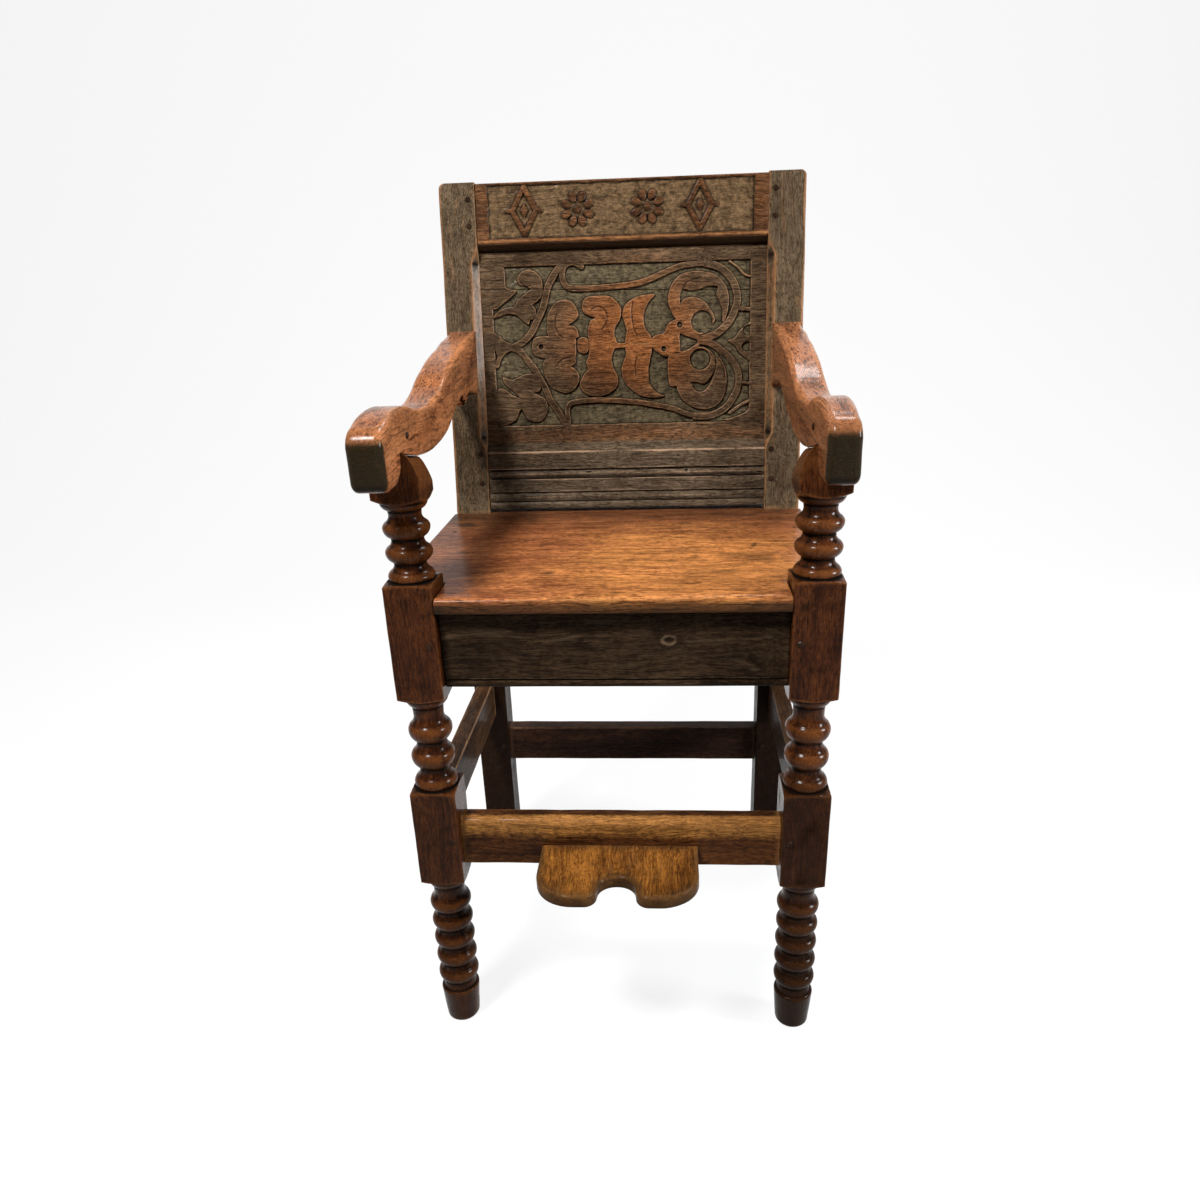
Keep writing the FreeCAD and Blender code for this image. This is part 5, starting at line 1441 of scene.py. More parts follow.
def through(places, closed=False):
    """A smooth line through the places."""
    places = np.array(places, float)
    if closed:
        places = np.concatenate([places[-1:], places, places[:2]])
    else:
        before = places[:1] * 2 - places[1:2]
        after = places[-1:] * 2 - places[-2:-1]
        places = np.concatenate([before, places, after])
    share = LINE_SHARES
    line = []
    for one, two, three, four in zip(places, places[1:], places[2:], places[3:]):
        bend = 2 * one - 5 * two + 4 * three - four
        twist = -one + 3 * two - 3 * three + four
        line.append(0.5 * (2 * two + (three - one) * share + bend * share**2 + twist * share**3))
    line = np.concatenate(line)
    return line if closed else np.concatenate([line, places[-2:-1]])


print("points of a line through three places:", len(through([(0, 0), (4, 3), (9, 3)])))

# %% Carver's tools


class Relief:
    """Figures on a board, kept as how far each place of a grid lies inside one."""

    def __init__(self, across, up):
        self.across = across
        self.up = up
        self.inside = np.full(len(across), -9.0)
        self.cuts = np.zeros(len(across))

    def close_to(self, line, margin):
        """Which places lie in the box round a line."""
        low = line.min(axis=0) - margin
        high = line.max(axis=0) + margin
        in_width = (self.across > low[0]) & (self.across < high[0])
        return np.flatnonzero(in_width & (self.up > low[1]) & (self.up < high[1]))

    def distance(self, near, line, closed):
        """How far the near places lie from a line."""
        best = np.full(len(near), 1e9)
        spots = np.column_stack([self.across[near], self.up[near]])
        ends = np.roll(line, -1, axis=0) if closed else line[1:]
        for first, last in zip(line, ends):
            run = last - first
            share = np.clip((spots - first) @ run / max(run @ run, 1e-9), 0, 1)
            best = np.minimum(best, ((spots - first - share[:, None] * run) ** 2).sum(axis=1))
        return np.sqrt(best)

    def strap(self, places, width):
        """Leave a band standing along a smooth line."""
        line = through(places)
        near = self.close_to(line, width)
        found = width / 2 - self.distance(near, line, False)
        self.inside[near] = np.maximum(self.inside[near], found)

    def measure(self, places, smooth):
        """How far inside a closed outline the places near it lie."""
        line = through(places, True) if smooth else np.array(places, float)
        near = self.close_to(line, 3)
        across = self.across[near]
        up = self.up[near]
        odd = np.zeros(len(near), bool)
        for (x1, y1), (x2, y2) in zip(line, np.roll(line, -1, axis=0)):
            if y1 != y2:
                crossing = (x2 - x1) * (up - y1) / (y2 - y1) + x1
                odd ^= ((y1 > up) != (y2 > up)) & (across < crossing)
        found = self.distance(near, line, True)
        return near, np.where(odd, found, -found)

    def leaf(self, places, smooth=True):
        """Leave what lies inside an outline standing."""
        near, found = self.measure(places, smooth)
        self.inside[near] = np.maximum(self.inside[near], found)

    def hollow(self, places):
        """Cut away what lies inside an outline."""
        near, found = self.measure(places, True)
        self.inside[near] = np.minimum(self.inside[near], -found)

    def eye(self, centre, radius_across, radius_up):
        """Cut away a round."""
        turns = np.radians(np.arange(0, 360, 15))
        ways = np.column_stack([radius_across * np.cos(turns), radius_up * np.sin(turns)])
        self.hollow(centre + ways)

    def incise(self, places, width, depth):
        """Cut a fine line into what stands."""
        line = through(places)
        near = self.close_to(line, width * 4)
        found = self.distance(near, line, False)
        self.cuts[near] = np.maximum(self.cuts[near], depth * np.exp(-((found / width) ** 2)))

    def height(self, depth):
        """Height above the ground: a steep wall, then a top that rounds off at its edge."""
        wall = soft_step(self.inside, -0.5, 0.7)
        crown = 1 - np.exp(-np.clip(self.inside, 0, None) / 2.2)
        return depth * (0.86 * wall + 0.14 * crown) - self.cuts * wall


# %% [markdown]
# ## The panel's figures
#
# Two ogee straps curl round two rings at the right. Between them lies a spine of paired
# leaves, and at the left two eyes and two more leaves fill the corners. The pattern is
# cut almost, but not quite, the same above and below its middle.

# %% The panel's field and straps
FIELD_LEFT = -167.5
FIELD_RIGHT = 162
FIELD_FOOT = 113.5
FIELD_HEAD = 311
CARVED_DEPTH = 4.0

# The width of each strap, and the places that it runs through
STRAPS = (
    (9, [(-78, 311), (-85, 303), (-94, 289), (-98, 277), (-103, 260), (-110, 247), (-118, 232),
         (-127, 222), (-138, 215), (-145, 213), (-155, 217), (-168, 227)]),
    (8.5, [(-145, 212), (-135, 208), (-127, 198), (-118, 187), (-110, 173), (-102, 158), (-97, 145),
           (-88, 132), (-78, 115)]),
    (6, [(-145, 212), (-155, 208), (-162, 200), (-166, 190)]),
    (7.5, [(-52, 309), (-62, 314), (-73, 311), (-77, 300), (-74, 289), (-66, 283.5), (-40, 282.5),
           (0, 284.5), (28, 289), (62, 302), (78, 306.5), (95, 308), (105, 308.5)]),
    (7, [(-74, 116), (-75, 130), (-73, 138), (-66, 142), (-40, 144), (0, 142), (28, 138.5),
         (62, 131.5), (80, 124.5), (95, 121), (105, 120)]),
    (9.5, [(95, 216), (110, 219), (124, 226), (136, 238), (143, 252), (146, 266), (142, 282),
           (133, 295), (120, 304), (105, 308)]),
    (9, [(95, 216), (113, 211), (128, 201), (140, 189), (148, 174), (148, 158), (142, 144),
         (132, 131), (118, 123), (105, 120.5), (92, 121)]),
    (3.2, [(136, 309), (146, 302), (155, 293), (166, 290)]),
    (5, [(146, 253), (166, 251)]),
    (4, [(150, 162), (166, 160)]),
    (4, [(137, 124), (150, 133), (166, 141)]),
)
print("straps:", len(STRAPS))

# %% Leaves inside the two rings
RING_LEAVES = (
    # The upper ring
    [(68, 242), (58, 263), (62, 283), (73, 295), (88, 299), (105, 298), (119, 294), (130, 283),
     (135, 270), (135, 256), (131, 240), (127, 238), (127, 252), (123, 262), (119, 271),
     (121, 279.5), (108, 280.5), (97, 277), (86, 276), (76, 277), (73.5, 268), (73.5, 258)],
    [(68, 243), (76, 264), (84, 268), (95, 267.5), (106, 261), (114, 250), (118, 240), (112, 232),
     (100, 222), (88, 224), (76, 232)],
    [(40, 222.5), (52, 226), (58, 237), (66, 241), (78, 244), (95, 232), (98, 216), (96, 206),
     (78, 200), (70, 201), (62, 198.5), (54, 196.5), (44, 202), (37, 208), (34, 215)],
    # The lower ring
    [(57, 192), (61, 199), (74, 201), (92, 207), (106, 206), (116, 198), (119, 190), (117, 176),
     (110, 166), (103, 161), (96, 163), (88, 163), (79, 159.5), (69, 159), (62, 158.5), (58, 166)],
    [(70, 160), (72, 148), (80, 138), (92, 131), (106, 129), (118, 132.5), (128, 142), (133, 157),
     (133, 173), (128, 188), (119, 197), (119, 181), (112, 162), (104, 153), (96, 152), (90, 157),
     (86, 163)],
)
print("leaves in the rings:", len(RING_LEAVES))

# %% The spine: block, bud, knop and paired leaves
SPINE_BAR = [(-12, 215), (4, 214.5), (4, 208.5), (-12, 208)]
SPINE_LEAVES = (
    [(-118, 218), (-112, 225), (-90, 226), (-64, 224), (-61, 212), (-62, 200), (-70, 195),
     (-100, 197), (-117, 203)],
    [(-95, 224), (-98, 242), (-96, 254), (-88, 265.5), (-77, 270), (-66, 267.5), (-59, 258),
     (-57, 250), (-63, 243), (-70, 238.5), (-62, 236), (-58, 229), (-61, 222)],
    [(-92, 198), (-86, 194), (-70, 188), (-60, 180), (-58, 169), (-66, 157.5), (-77, 153.5),
     (-88, 157), (-96, 162), (-104, 178), (-104, 195)],
    [(-66, 202), (-62, 196), (-64, 190), (-72, 187), (-84, 190), (-88, 200)],
    [(-60, 213), (-58, 221), (-52, 223.5), (-46, 221), (-44, 213), (-46, 205), (-52, 202.5),
     (-58, 205)],
    [(-45, 218), (-45.5, 232), (-42, 243), (-36, 246.5), (-44, 249), (-51, 254), (-52.5, 262),
     (-48, 271), (-38, 273), (-20, 273), (-10, 268), (-2.5, 258), (-2, 249), (-5, 241),
     (-10, 234), (-11, 225), (-8, 214), (-12, 206), (-15, 196), (-13, 184), (-8, 174), (-8, 162),
     (-18, 152.5), (-32, 148.5), (-47, 150.5), (-56, 158), (-57.5, 167), (-52, 177), (-47, 183),
     (-49, 192), (-45, 202)],
    [(3, 222), (4.5, 230), (1, 242), (-0.5, 252), (4, 262), (14, 269), (26, 272.5), (41, 273),
     (33, 263), (28, 252), (27, 240), (30, 230), (36, 222), (38, 212), (36, 200), (33, 184),
     (32.5, 172), (35, 161), (43, 152), (53, 147), (38, 145), (22, 148), (9, 156.5), (0, 168),
     (-3, 182), (0, 192), (3, 200), (2, 212)],
)
print("figures of the spine:", len(SPINE_LEAVES) + 1)

# %% Leaves in the corners and at the border
BORDER_LEAVES = (
    # In the left corners
    [(-169, 250), (-161, 258), (-150, 262.5), (-140, 264), (-134, 272), (-122, 281), (-118, 284),
     (-124, 287), (-131, 289), (-135, 295), (-131, 303), (-122, 307.5), (-112, 305), (-104, 297),
     (-102, 288), (-103, 277), (-109, 269), (-116, 264.5), (-112, 259), (-112.5, 251),
     (-117, 246.5), (-120, 246), (-122.5, 240), (-130, 246), (-138, 252), (-150, 254), (-160, 251)],
    [(-159, 176), (-147, 172.5), (-135, 177), (-124, 180), (-112, 176), (-107.5, 165),
     (-111, 157.5), (-118, 155), (-112, 152), (-103, 146), (-101, 132), (-108, 120), (-118, 117.5),
     (-128, 121), (-133, 130), (-137, 133.5), (-146, 119), (-168, 116), (-168, 158), (-157, 160),
     (-147, 153), (-138, 149.5), (-146, 158), (-156, 166)],
    [(-169, 312), (-153, 312), (-150, 303), (-150, 288), (-144, 284.5), (-136, 282), (-150, 270),
     (-169, 262)],
    [(-164, 229), (-150, 219), (-146, 213), (-152, 207), (-163, 201), (-168, 215)],
    # At the right border
    [(134, 214.5), (142, 217), (149, 226), (158, 233), (166, 235), (166, 191), (156, 193),
     (149, 199), (144, 207), (138, 211)],
    [(128, 115), (140, 118), (156, 124), (166, 132), (166, 112)],
)
LEAVES = RING_LEAVES + SPINE_LEAVES + BORDER_LEAVES
print("leaves in all:", len(LEAVES))

# %% Eyes and cut lines
# Grounds that open inside figures: the middle of each round one, and its two radii
EYES = (
    ((101, 238), 13.5, 13.5),
    ((99, 192), 13, 13),
    ((-145, 235), 16.5, 16.5),
    ((-145, 191), 16, 13.5),
    ((159.5, 226), 6.5, 6.5),
    ((158.5, 206), 6, 6),
    ((-107, 212.5), 3, 3),
    ((52, 206), 3, 3),
    ((72.5, 235), 3.4, 3.4),
)
RING_GAP = [(73, 223), (80, 221), (96, 213.5), (76, 202), (73.5, 210)]

# The width and depth of cut lines, and the places that each runs through
CUT_LINES = (
    (1.0, 1.3, [(-78, 223), (-84, 229), (-88, 240), (-86, 252)]),
    (1.0, 1.3, [(-88, 188), (-80, 196), (-68, 199)]),
    (1.0, 1.3, [(-27.5, 232), (-21.5, 240), (-21, 252), (-30, 260), (-40, 257)]),
    (1.0, 1.3, [(13, 264), (11.5, 250), (14, 232), (18, 224)]),
    (1.0, 1.3, [(17, 196), (15, 186), (16, 174)]),
    (1.0, 1.3, [(76, 277), (82, 286), (95, 290)]),
    (1.0, 1.3, [(-131, 292), (-124, 287), (-118, 288)]),
    (0.9, 1.3, [(119, 196), (128, 184), (131, 168)]),
    (1.6, 1.6, [(124, 200), (137, 186), (142, 170), (140, 150)]),
    (0.9, 1.3, [(116, 296), (131, 284), (137, 268), (136, 250)]),
)
print("figures on the panel:", len(STRAPS) + len(LEAVES), "and cut lines:", len(CUT_LINES))

# %% Carve the panel
PANEL_STEP = 0.75
PANEL_FRONT = 10.2
PANEL_FOOT = 84.5
PANEL_HEAD = 334.5
BEVEL_START = 15.8
BEVEL_RISE = 6.4
BEVEL_WIDTH = 30
BACK_INSETS = (0, 10, 18, 24, 28, BEVEL_WIDTH, 32, 36, 44)
CRACK_HEIGHT = 278
CRACK_SLOPE = 0.03
CRACK_WIDTH = 0.55
CRACK_DEPTH = 1.3


def carve_panel(relief):
    """Draw every figure of the panel, then the grounds inside them, then the cut lines."""
    for width, places in STRAPS:
        relief.strap(places, width)
    for places in LEAVES:
        relief.leaf(places)
    relief.leaf(SPINE_BAR, smooth=False)
    for eye_middle, radius_across, radius_up in EYES:
        relief.eye(eye_middle, radius_across, radius_up)
    relief.hollow(RING_GAP)
    for width, depth, places in CUT_LINES:
        relief.incise(places, width, depth)


def bevelled_back(rim, low, high):
    """Loops drawn in towards the panel's middle: up the bevel, then over the flat back."""
    middle = np.array([low[0] + high[0], PANEL_FOOT + PANEL_HEAD]) / 2
    half = np.array([high[0] - low[0], PANEL_HEAD - PANEL_FOOT]) / 2
    for inset in BACK_INSETS:
        loop = rim.copy()
        loop[:, 1] = BEVEL_START + BEVEL_RISE * min(inset, BEVEL_WIDTH) / BEVEL_WIDTH
        loop[:, [0, 2]] = middle + (rim[:, [0, 2]] - middle) * (half - inset) / half
        yield loop


def carved_panel():
    low, high = span("back_panel")
    across, up, quads = grid(
        np.linspace(low[0], high[0], round((high[0] - low[0]) / PANEL_STEP) + 1),
        np.linspace(PANEL_FOOT, PANEL_HEAD, round((PANEL_HEAD - PANEL_FOOT) / PANEL_STEP) + 1),
    )
    spots = np.column_stack([across, up])
    relief = Relief(across, up)
    carve_panel(relief)
    to_sides = np.minimum(across - FIELD_LEFT, FIELD_RIGHT - across)
    from_border = np.minimum(to_sides, np.minimum(up - FIELD_FOOT, FIELD_HEAD - up))
    edge_waver = 1.2 * wobble(spots, 12, 83) - 0.6
    relief.inside = np.maximum(relief.inside, -from_border + edge_waver * 0.5)
    relief.inside += 0.35 * (wobble(spots, 4, 89) - 0.5)
    height = relief.height(CARVED_DEPTH)
    ground = 1 - soft_step(height, 0.5, 2.5)
    gouged = 1.0 * wobble(spots, (9, 4.5), 97) + 0.7 * wobble(spots, (3.2, 2.2), 98)
    planed = 0.35 * wobble(spots, (50, 12), 99) + 0.18 * wobble(spots, (9, 2.0), 101)
    deep = PANEL_FRONT + CARVED_DEPTH - height
    deep = deep - ground * gouged * 0.9 + (1 - ground) * planed + ground * 0.6
    crack_at = CRACK_HEIGHT - across * CRACK_SLOPE + 2.2 * wobble(across[:, None], 40, 103)
    crack = ridge(up, crack_at, CRACK_WIDTH) * (0.4 + 0.8 * wobble(spots, (30, 9), 107))
    deep = np.maximum(deep + CRACK_DEPTH * crack, PANEL_FRONT)
    handled_and_sheen = patch(spots, (15, 222), (100, 85)) + 0.32 * ridge(up, 98, 14)
    marks = {"raised": 1 - ground, "handled_and_sheen": handled_and_sheen}
    face = np.stack([across, deep, up], axis=1)
    back = (bevelled_back, low, high)
    dress_board("back_panel", face, quads, marks, *back, leaning=True, steps=5)


carved_panel()

# %% [markdown]
# ## Top rail
#
# Its face is sunk between a plain border, and four small figures stand in the field:
# a lozenge at each end and two rosettes between. The lower edge is a deep chamfer that
# hands have worn to a thick round.

# %% The top rail's figures
LOZENGES = (-121, 98)
LOZENGE_RISE = 27
LOZENGE_REACH = 15
NIB = 6
ROSETTES = (-54, 33)
BUTTON = 4.6
FIGURE_MIDDLE = 374.5


def carve_lozenge(relief, middle):
    """An upright lozenge with a small one left standing in it, and a nib at each side."""

    def figure(*spots):
        return [(middle + across, FIGURE_MIDDLE + up) for across, up in spots]

    corners = [(0, LOZENGE_RISE), (LOZENGE_REACH, 0), (0, -LOZENGE_RISE), (-LOZENGE_REACH, 0)]
    relief.strap(figure((1, LOZENGE_RISE), (LOZENGE_REACH, 0)), 6)
    for first, last in zip(corners, corners[1:] + corners[:1]):
        relief.strap(figure(first, last), 6)
    for side in (-1, 1):
        relief.strap(figure((side * LOZENGE_REACH, 0), (side * (LOZENGE_REACH + NIB), 0)), 5)
    relief.leaf(figure(*((across * 0.32, up * 0.32) for across, up in corners)), smooth=False)


def carve_rosette(relief, middle):
    """Eight petals round a button."""
    centre = np.array([middle, FIGURE_MIDDLE])
    for angle in np.radians(np.arange(8) * 45 + 22.5):
        way = np.array([math.cos(angle), math.sin(angle)])
        aside = np.array([-way[1], way[0]])
        petal = ((8, 0), (14, 4.6), (20.5, 2.6), (20.5, -2.6), (14, -4.6))
        relief.leaf([centre + way * out + aside * off for out, off in petal])
    turns = np.radians(np.arange(0, 360, 40))
    relief.leaf([centre + (BUTTON * math.cos(turn), BUTTON * math.sin(turn)) for turn in turns])


print("figures on the top rail:", len(LOZENGES) + len(ROSETTES))

# %% Carve the top rail
RAIL_FOOT = 328
RAIL_HEAD = slope_length - 1.5
RAIL_ROWS = 92
TOP_CHAMFER = 12
CHAMFER_FALL = 10
FIELD_DEPTH = 2.8
SUNK_LEFT = -166.5
SUNK_RIGHT = 164.5
SUNK_FOOT = 342.5
BORDER_ABOVE = 3.5


def carved_rail():
    low, high = span("top_rail")
    shoulder = high[0] - TENON_LENGTH
    columns = lines(low[0], high[0], 0.95, (-shoulder, shoulder))
    across, up, quads = grid(columns, np.linspace(RAIL_FOOT, RAIL_HEAD, RAIL_ROWS))
    spots = np.column_stack([across, up])
    relief = Relief(across, up)
    for middle in LOZENGES:
        carve_lozenge(relief, middle)
    for middle in ROSETTES:
        carve_rosette(relief, middle)
    to_sides = np.minimum(across - SUNK_LEFT, SUNK_RIGHT - across)
    from_border = np.minimum(to_sides, np.minimum(up - SUNK_FOOT, RAIL_HEAD - BORDER_ABOVE - up))
    from_border = from_border + 1.4 * (wobble(spots, 14, 109) - 0.5)
    relief.inside = np.maximum(relief.inside, -from_border)
    height = relief.height(FIELD_DEPTH)
    ground = 1 - soft_step(height, 0.4, 1.9)
    gouged = 0.55 * wobble(spots, (8, 4), 113) + 0.4 * wobble(spots, (3.4, 2.4), 127)
    planed = 0.4 * wobble(spots, (60, 9), 131) + 0.25 * wobble(spots, (10, 2.4), 137)
    deep = FIELD_DEPTH - height + ground * (0.5 - gouged) + (1 - ground) * planed
    chamfer = CHAMFER_FALL * (1 - np.sqrt(np.clip((up - RAIL_FOOT) / TOP_CHAMFER, 0, 1)))
    deep = np.maximum(deep, 0) + np.where(up < RAIL_FOOT + TOP_CHAMFER, chamfer, 0)
    deep += rounded_fall(RAIL_HEAD - up, 2.2)
    deep = np.maximum(deep, ends_set_back(across, shoulder))
    edge_line = ridge(up - RAIL_FOOT, 11.5, 1.5) * (0.5 + wobble(spots, (22, 9), 141))
    marks = {
        "raised": 1 - ground,
        # The lower part of the chamfer is darkened: painted shade on its underside.
        "stain_and_shade": soft_step(-up, -(RAIL_FOOT + 9.5), -(RAIL_FOOT + 7)),
        "worn": np.clip(edge_line, 0, 1),
    }
    face = np.stack([across, deep, up], axis=1)
    back = (flat_back, EDGE_OF_BACK, RAIL_BACK)
    dress_board("top_rail", face, quads, marks, *back, leaning=True, steps=6)


carved_rail()

# %% [markdown]
# ## Apron
#
# The front seat rail is plain but for a bead scratched along its lower edge. It is the
# darkest board of the chair, with a knot right of its middle and light scratches.

# %% Front seat rail
BEAD = 8
BEAD_FALL = 1.9
APRON_KNOT = (56, 498)
KNOT_REACH = (6, 4.2)


def apron():
    low, high = span("front_seat_rail")
    shoulder = high[0] - TENON_LENGTH
    columns = lines(low[0], high[0], 1.8, (-shoulder, shoulder))
    across, tall, quads = grid(columns, lines(low[2], high[2], 0.9, (low[2] + BEAD,)))
    spots = np.column_stack([across, tall])
    up_rail = tall - low[2]
    deep = np.where(up_rail < BEAD, reed(up_rail, 0, BEAD, BEAD_FALL), 0.0)
    deep = np.maximum(deep, BEAD_FALL * ridge(up_rail, BEAD, 1.1))
    deep += 0.5 * wobble(spots, (70, 14), 139) + 0.3 * wobble(spots, (18, 3), 149)
    knot = np.hypot(*((spots - APRON_KNOT) / KNOT_REACH).T)
    deep += 1.5 * np.exp(-(knot**2)) + 0.5 * np.exp(-((knot - 1.9) ** 2) * 3)
    deep += rounded_fall(high[2] - tall, 1.2)
    deep = np.maximum(deep, ends_set_back(across, shoulder)) + low[1]
    scratches = soft_step(wobble(spots, (5, 1.3), 191), 0.92, 0.99) * 0.4
    bead_line = ridge(up_rail - BEAD, 1.6, 0.9) * wobble(spots, (20, 5), 193)
    knot_rim = 0.5 * np.exp(-((knot - 1.1) ** 2) * 3)
    marks = {
        "worn": np.clip(scratches + bead_line + knot_rim, 0, 1),
        "stain_and_shade": np.exp(-(knot**2) * 3),
    }
    face = np.stack([across, deep, tall], axis=1)
    dress_board("front_seat_rail", face, quads, marks, flat_back, high[1] - 1, high[1])


apron()

# %% [markdown]
# ## Seat
#
# Two boards lie on the rails. The front one is cut round the turned posts and its front
# edge is rounded by legs. The rear one reaches between the rear posts. The sitter has
# polished the middle, and a painted sheen brightens it towards the right. The seat is
# darker towards its back and under the round of its nosing, with painted shade at its left end.

# %% Seat boards
NOSING = 7
SEAT_EDGE = 1.6
POST_GAP = 0.3
SEAT_COLUMN = 3.0
SEAT_ROW = 2.4


def walls_between(corners):
    """The straight sawn edges of a stepped outline, from each corner to the next."""
    return [(*first, *last) for first, last in zip(corners, corners[1:] + corners[:1])]


def board_distance(across, back, walls):
    """How far each place lies from the nearest sawn edge of a board."""
    best = np.full(len(across), 99.0)
    for x1, y1, x2, y2 in walls:
        aside = np.maximum(np.maximum(min(x1, x2) - across, across - max(x1, x2)), 0)
        along = np.maximum(np.maximum(min(y1, y2) - back, back - max(y1, y2)), 0)
        best = np.minimum(best, np.hypot(aside, along))
    return best


def sawn_grid(low, high, corners):
    """A grid over a board that has lines on every sawn edge, and no quad outside them."""
    axes = []
    for axis, step in enumerate((SEAT_COLUMN, SEAT_ROW)):
        edges = sorted({corner[axis] for corner in corners})
        values = lines(low[axis], high[axis], step, edges)
        for edge in edges:
            values[np.argmin(np.abs(values - edge))] = edge
        axes.append(values)
    across, back, quads = grid(*axes)
    middle_x = across[quads].mean(axis=1)
    middle_y = back[quads].mean(axis=1)
    odd = np.zeros(len(quads), bool)
    for x1, y1, _, y2 in walls_between(corners):
        if y1 != y2:
            odd ^= ((y1 > middle_y) != (y2 > middle_y)) & (middle_x < x1)
    used = np.unique(quads[odd])
    renumber = np.zeros(len(across), int)
    renumber[used] = np.arange(len(used))
    return across[used], back[used], renumber[quads[odd]]


def under_seat(rim, low, under_round):
    """Loops down a seat board's edges to its underside, its front edge rounded below."""
    part = under_round * 0.3
    for height, inset in ((under_round, 0), (part, part), (0, under_round)):
        loop = rim.copy()
        loop[:, 2] = low[2] + height
        loop[:, 1] = np.where(rim[:, 1] < low[1] + 0.01, low[1] + inset, rim[:, 1])
        yield loop


def seat_board(node, corners, nosing, under_round, seed):
    """A board sawn to a stepped outline, given by its corners in order."""
    low, high = span(node)
    across, back, quads = sawn_grid(low, high, corners)
    spots = np.column_stack([across, back])
    gone = 0.35 * wobble(spots, (90, 25), seed) + 0.2 * wobble(spots, (22, 7), seed + 1)
    waver = 0.6 + 0.8 * wobble(spots, 30, seed + 2)
    gone += rounded_fall(board_distance(across, back, walls_between(corners)), SEAT_EDGE) * waver
    if nosing:
        gone = np.maximum(gone, rounded_fall(back - low[1], nosing) + gone * 0.3)
    face = np.stack([across, back, high[2] - gone], axis=1)
    return backed(face, quads, under_seat, low, under_round)


# %% Marks of use on the seat
# Where each nick lies, across and back, and how far it reaches both ways
SEAT_NICKS = (
    ((-31, 8), (4, 2)),
    ((124, 21), (5, 2)),
    ((3, 16), (3, 1.5)),
    ((58, 117), (4, 2.5)),
    ((-70, 80), (7, 5)),
)
# Where each streak starts and ends
SEAT_STREAKS = (
    ((-96, 182), (-66, 205)),
    ((148, 162), (153, 174)),
    ((153, 174), (156, 185)),
    ((40, 250), (75, 254)),
)
STREAK_WIDTH = 1.8


def streak_mark(places, first, last):
    """A thin dark stroke from one place to another."""
    way = np.subtract(last, first)
    share = np.clip((places - first) @ way / (way @ way), 0, 1)
    return ridge(np.linalg.norm(places - first - share[:, None] * way, axis=1), 0, STREAK_WIDTH)


def seat_marks(points):
    """Where the sitter has rubbed the boards bright, with a painted sheen; its stains; and its
    darker parts, painted shade at the left end.
    """
    across, back, tall = points.T
    places = points[:, :2]
    cloud = wobble(places, (60, 30), 167)
    # The rubbed middle, set right of the middle: wear, and a painted sheen.
    handled_and_sheen = 1.2 * patch(places, (80, 120), (180, 150))
    blots = soft_step(wobble(places, (40, 12), 173), 0.74, 0.92) * 0.3
    # Painted shade at the left end, and stained blots behind the front edge.
    stain_and_shade = 0.25 * soft_step(-across, 130, 200) + blots * soft_step(back, 40, 120)
    # Darker towards the back.
    stain_and_shade += 0.45 * soft_step(back, 215, 330)
    for middle, reach in SEAT_NICKS:
        stain_and_shade += 0.75 * patch(places, middle, reach)
    for first, last in SEAT_STREAKS:
        stain_and_shade += 0.6 * streak_mark(places, first, last)
    front = back - seat_low[1]
    # Darker where the front edge rounds under.
    stain_and_shade = stain_and_shade + 0.75 * soft_step(seat_top - tall, 1.8, 6.5) * (front < 6)
    marks = {
        "handled_and_sheen": handled_and_sheen * (0.5 + 0.8 * cloud),
        "stain_and_shade": stain_and_shade,
        "worn": ridge(front, 2.2, 1.6) * (0.1 + 0.9 * wobble(places, (30, 9), 197)),
    }
    return {name: np.clip(values, 0, 0.95) for name, values in marks.items()}


def front_corners():
    """The front board's outline: a lip between the posts, then the full width behind them."""
    low, high = span("seat_board_front")
    lip = post_low[0] - POST_GAP
    lip_back = post_high[0] - post_low[0] + POST_GAP
    right_half = [(lip, low[1]), (lip, lip_back), (high[0], lip_back), (high[0], high[1])]
    return [(-lip, low[1]), *right_half, (low[0], high[1]), (low[0], lip_back), (-lip, lip_back)]


def rear_corners():
    """The rear board's outline: the full width, then a tongue between the rear posts."""
    low, high = span("seat_board_rear")
    tongue = stile_low[0] - POST_GAP
    wall = stile_front - POST_GAP
    right_half = [(high[0], low[1]), (high[0], wall), (tongue, wall), (tongue, high[1])]
    return [(low[0], low[1]), *right_half, (-tongue, high[1]), (-tongue, wall), (low[0], wall)]


SEAT_BOARDS = (
    ("seat_board_front", front_corners(), NOSING, 3, 151),
    ("seat_board_rear", rear_corners(), 0, 0.8, 157),
)
for node, corners, nosing, under_round, seed in SEAT_BOARDS:
    shape = seat_board(node, corners, nosing, under_round, seed)
    dress(node, shape, "seat_boards", seat_marks(shape[0]))

# %% [markdown]
# ## Footrest
#
# A small board with two round lobes and a notch between them is let into the front
# stretcher. It is built like an arm: its plan, drawn in at the top and bottom edges.

# %% Footrest
REST_LOBE = 40
NOTCH_HALF = 19
NOTCH_DEPTH = 33
LIP_ROUND = 13.5
LIP_HALF = NOTCH_HALF + 1
REST_EDGE = 3.5
REST_ROOT_EDGE = 0.5
UNDER_SHARE = 0.4
REST_POINT_STEP = 1.8
TOP_INSETS = (3, 6, 9)
TOP_DISH = 0.05
RIM_SHADES = (0.5, 0.35, 0.15, 0)
TONGUE_HALF = 60
TONGUE_ROOT = 3
TONGUE_SHOULDER = 2
rest_low, rest_high = span("footrest")
rest_root = span("front_stretcher")[0][1]
rest_tip = rest_low[1]


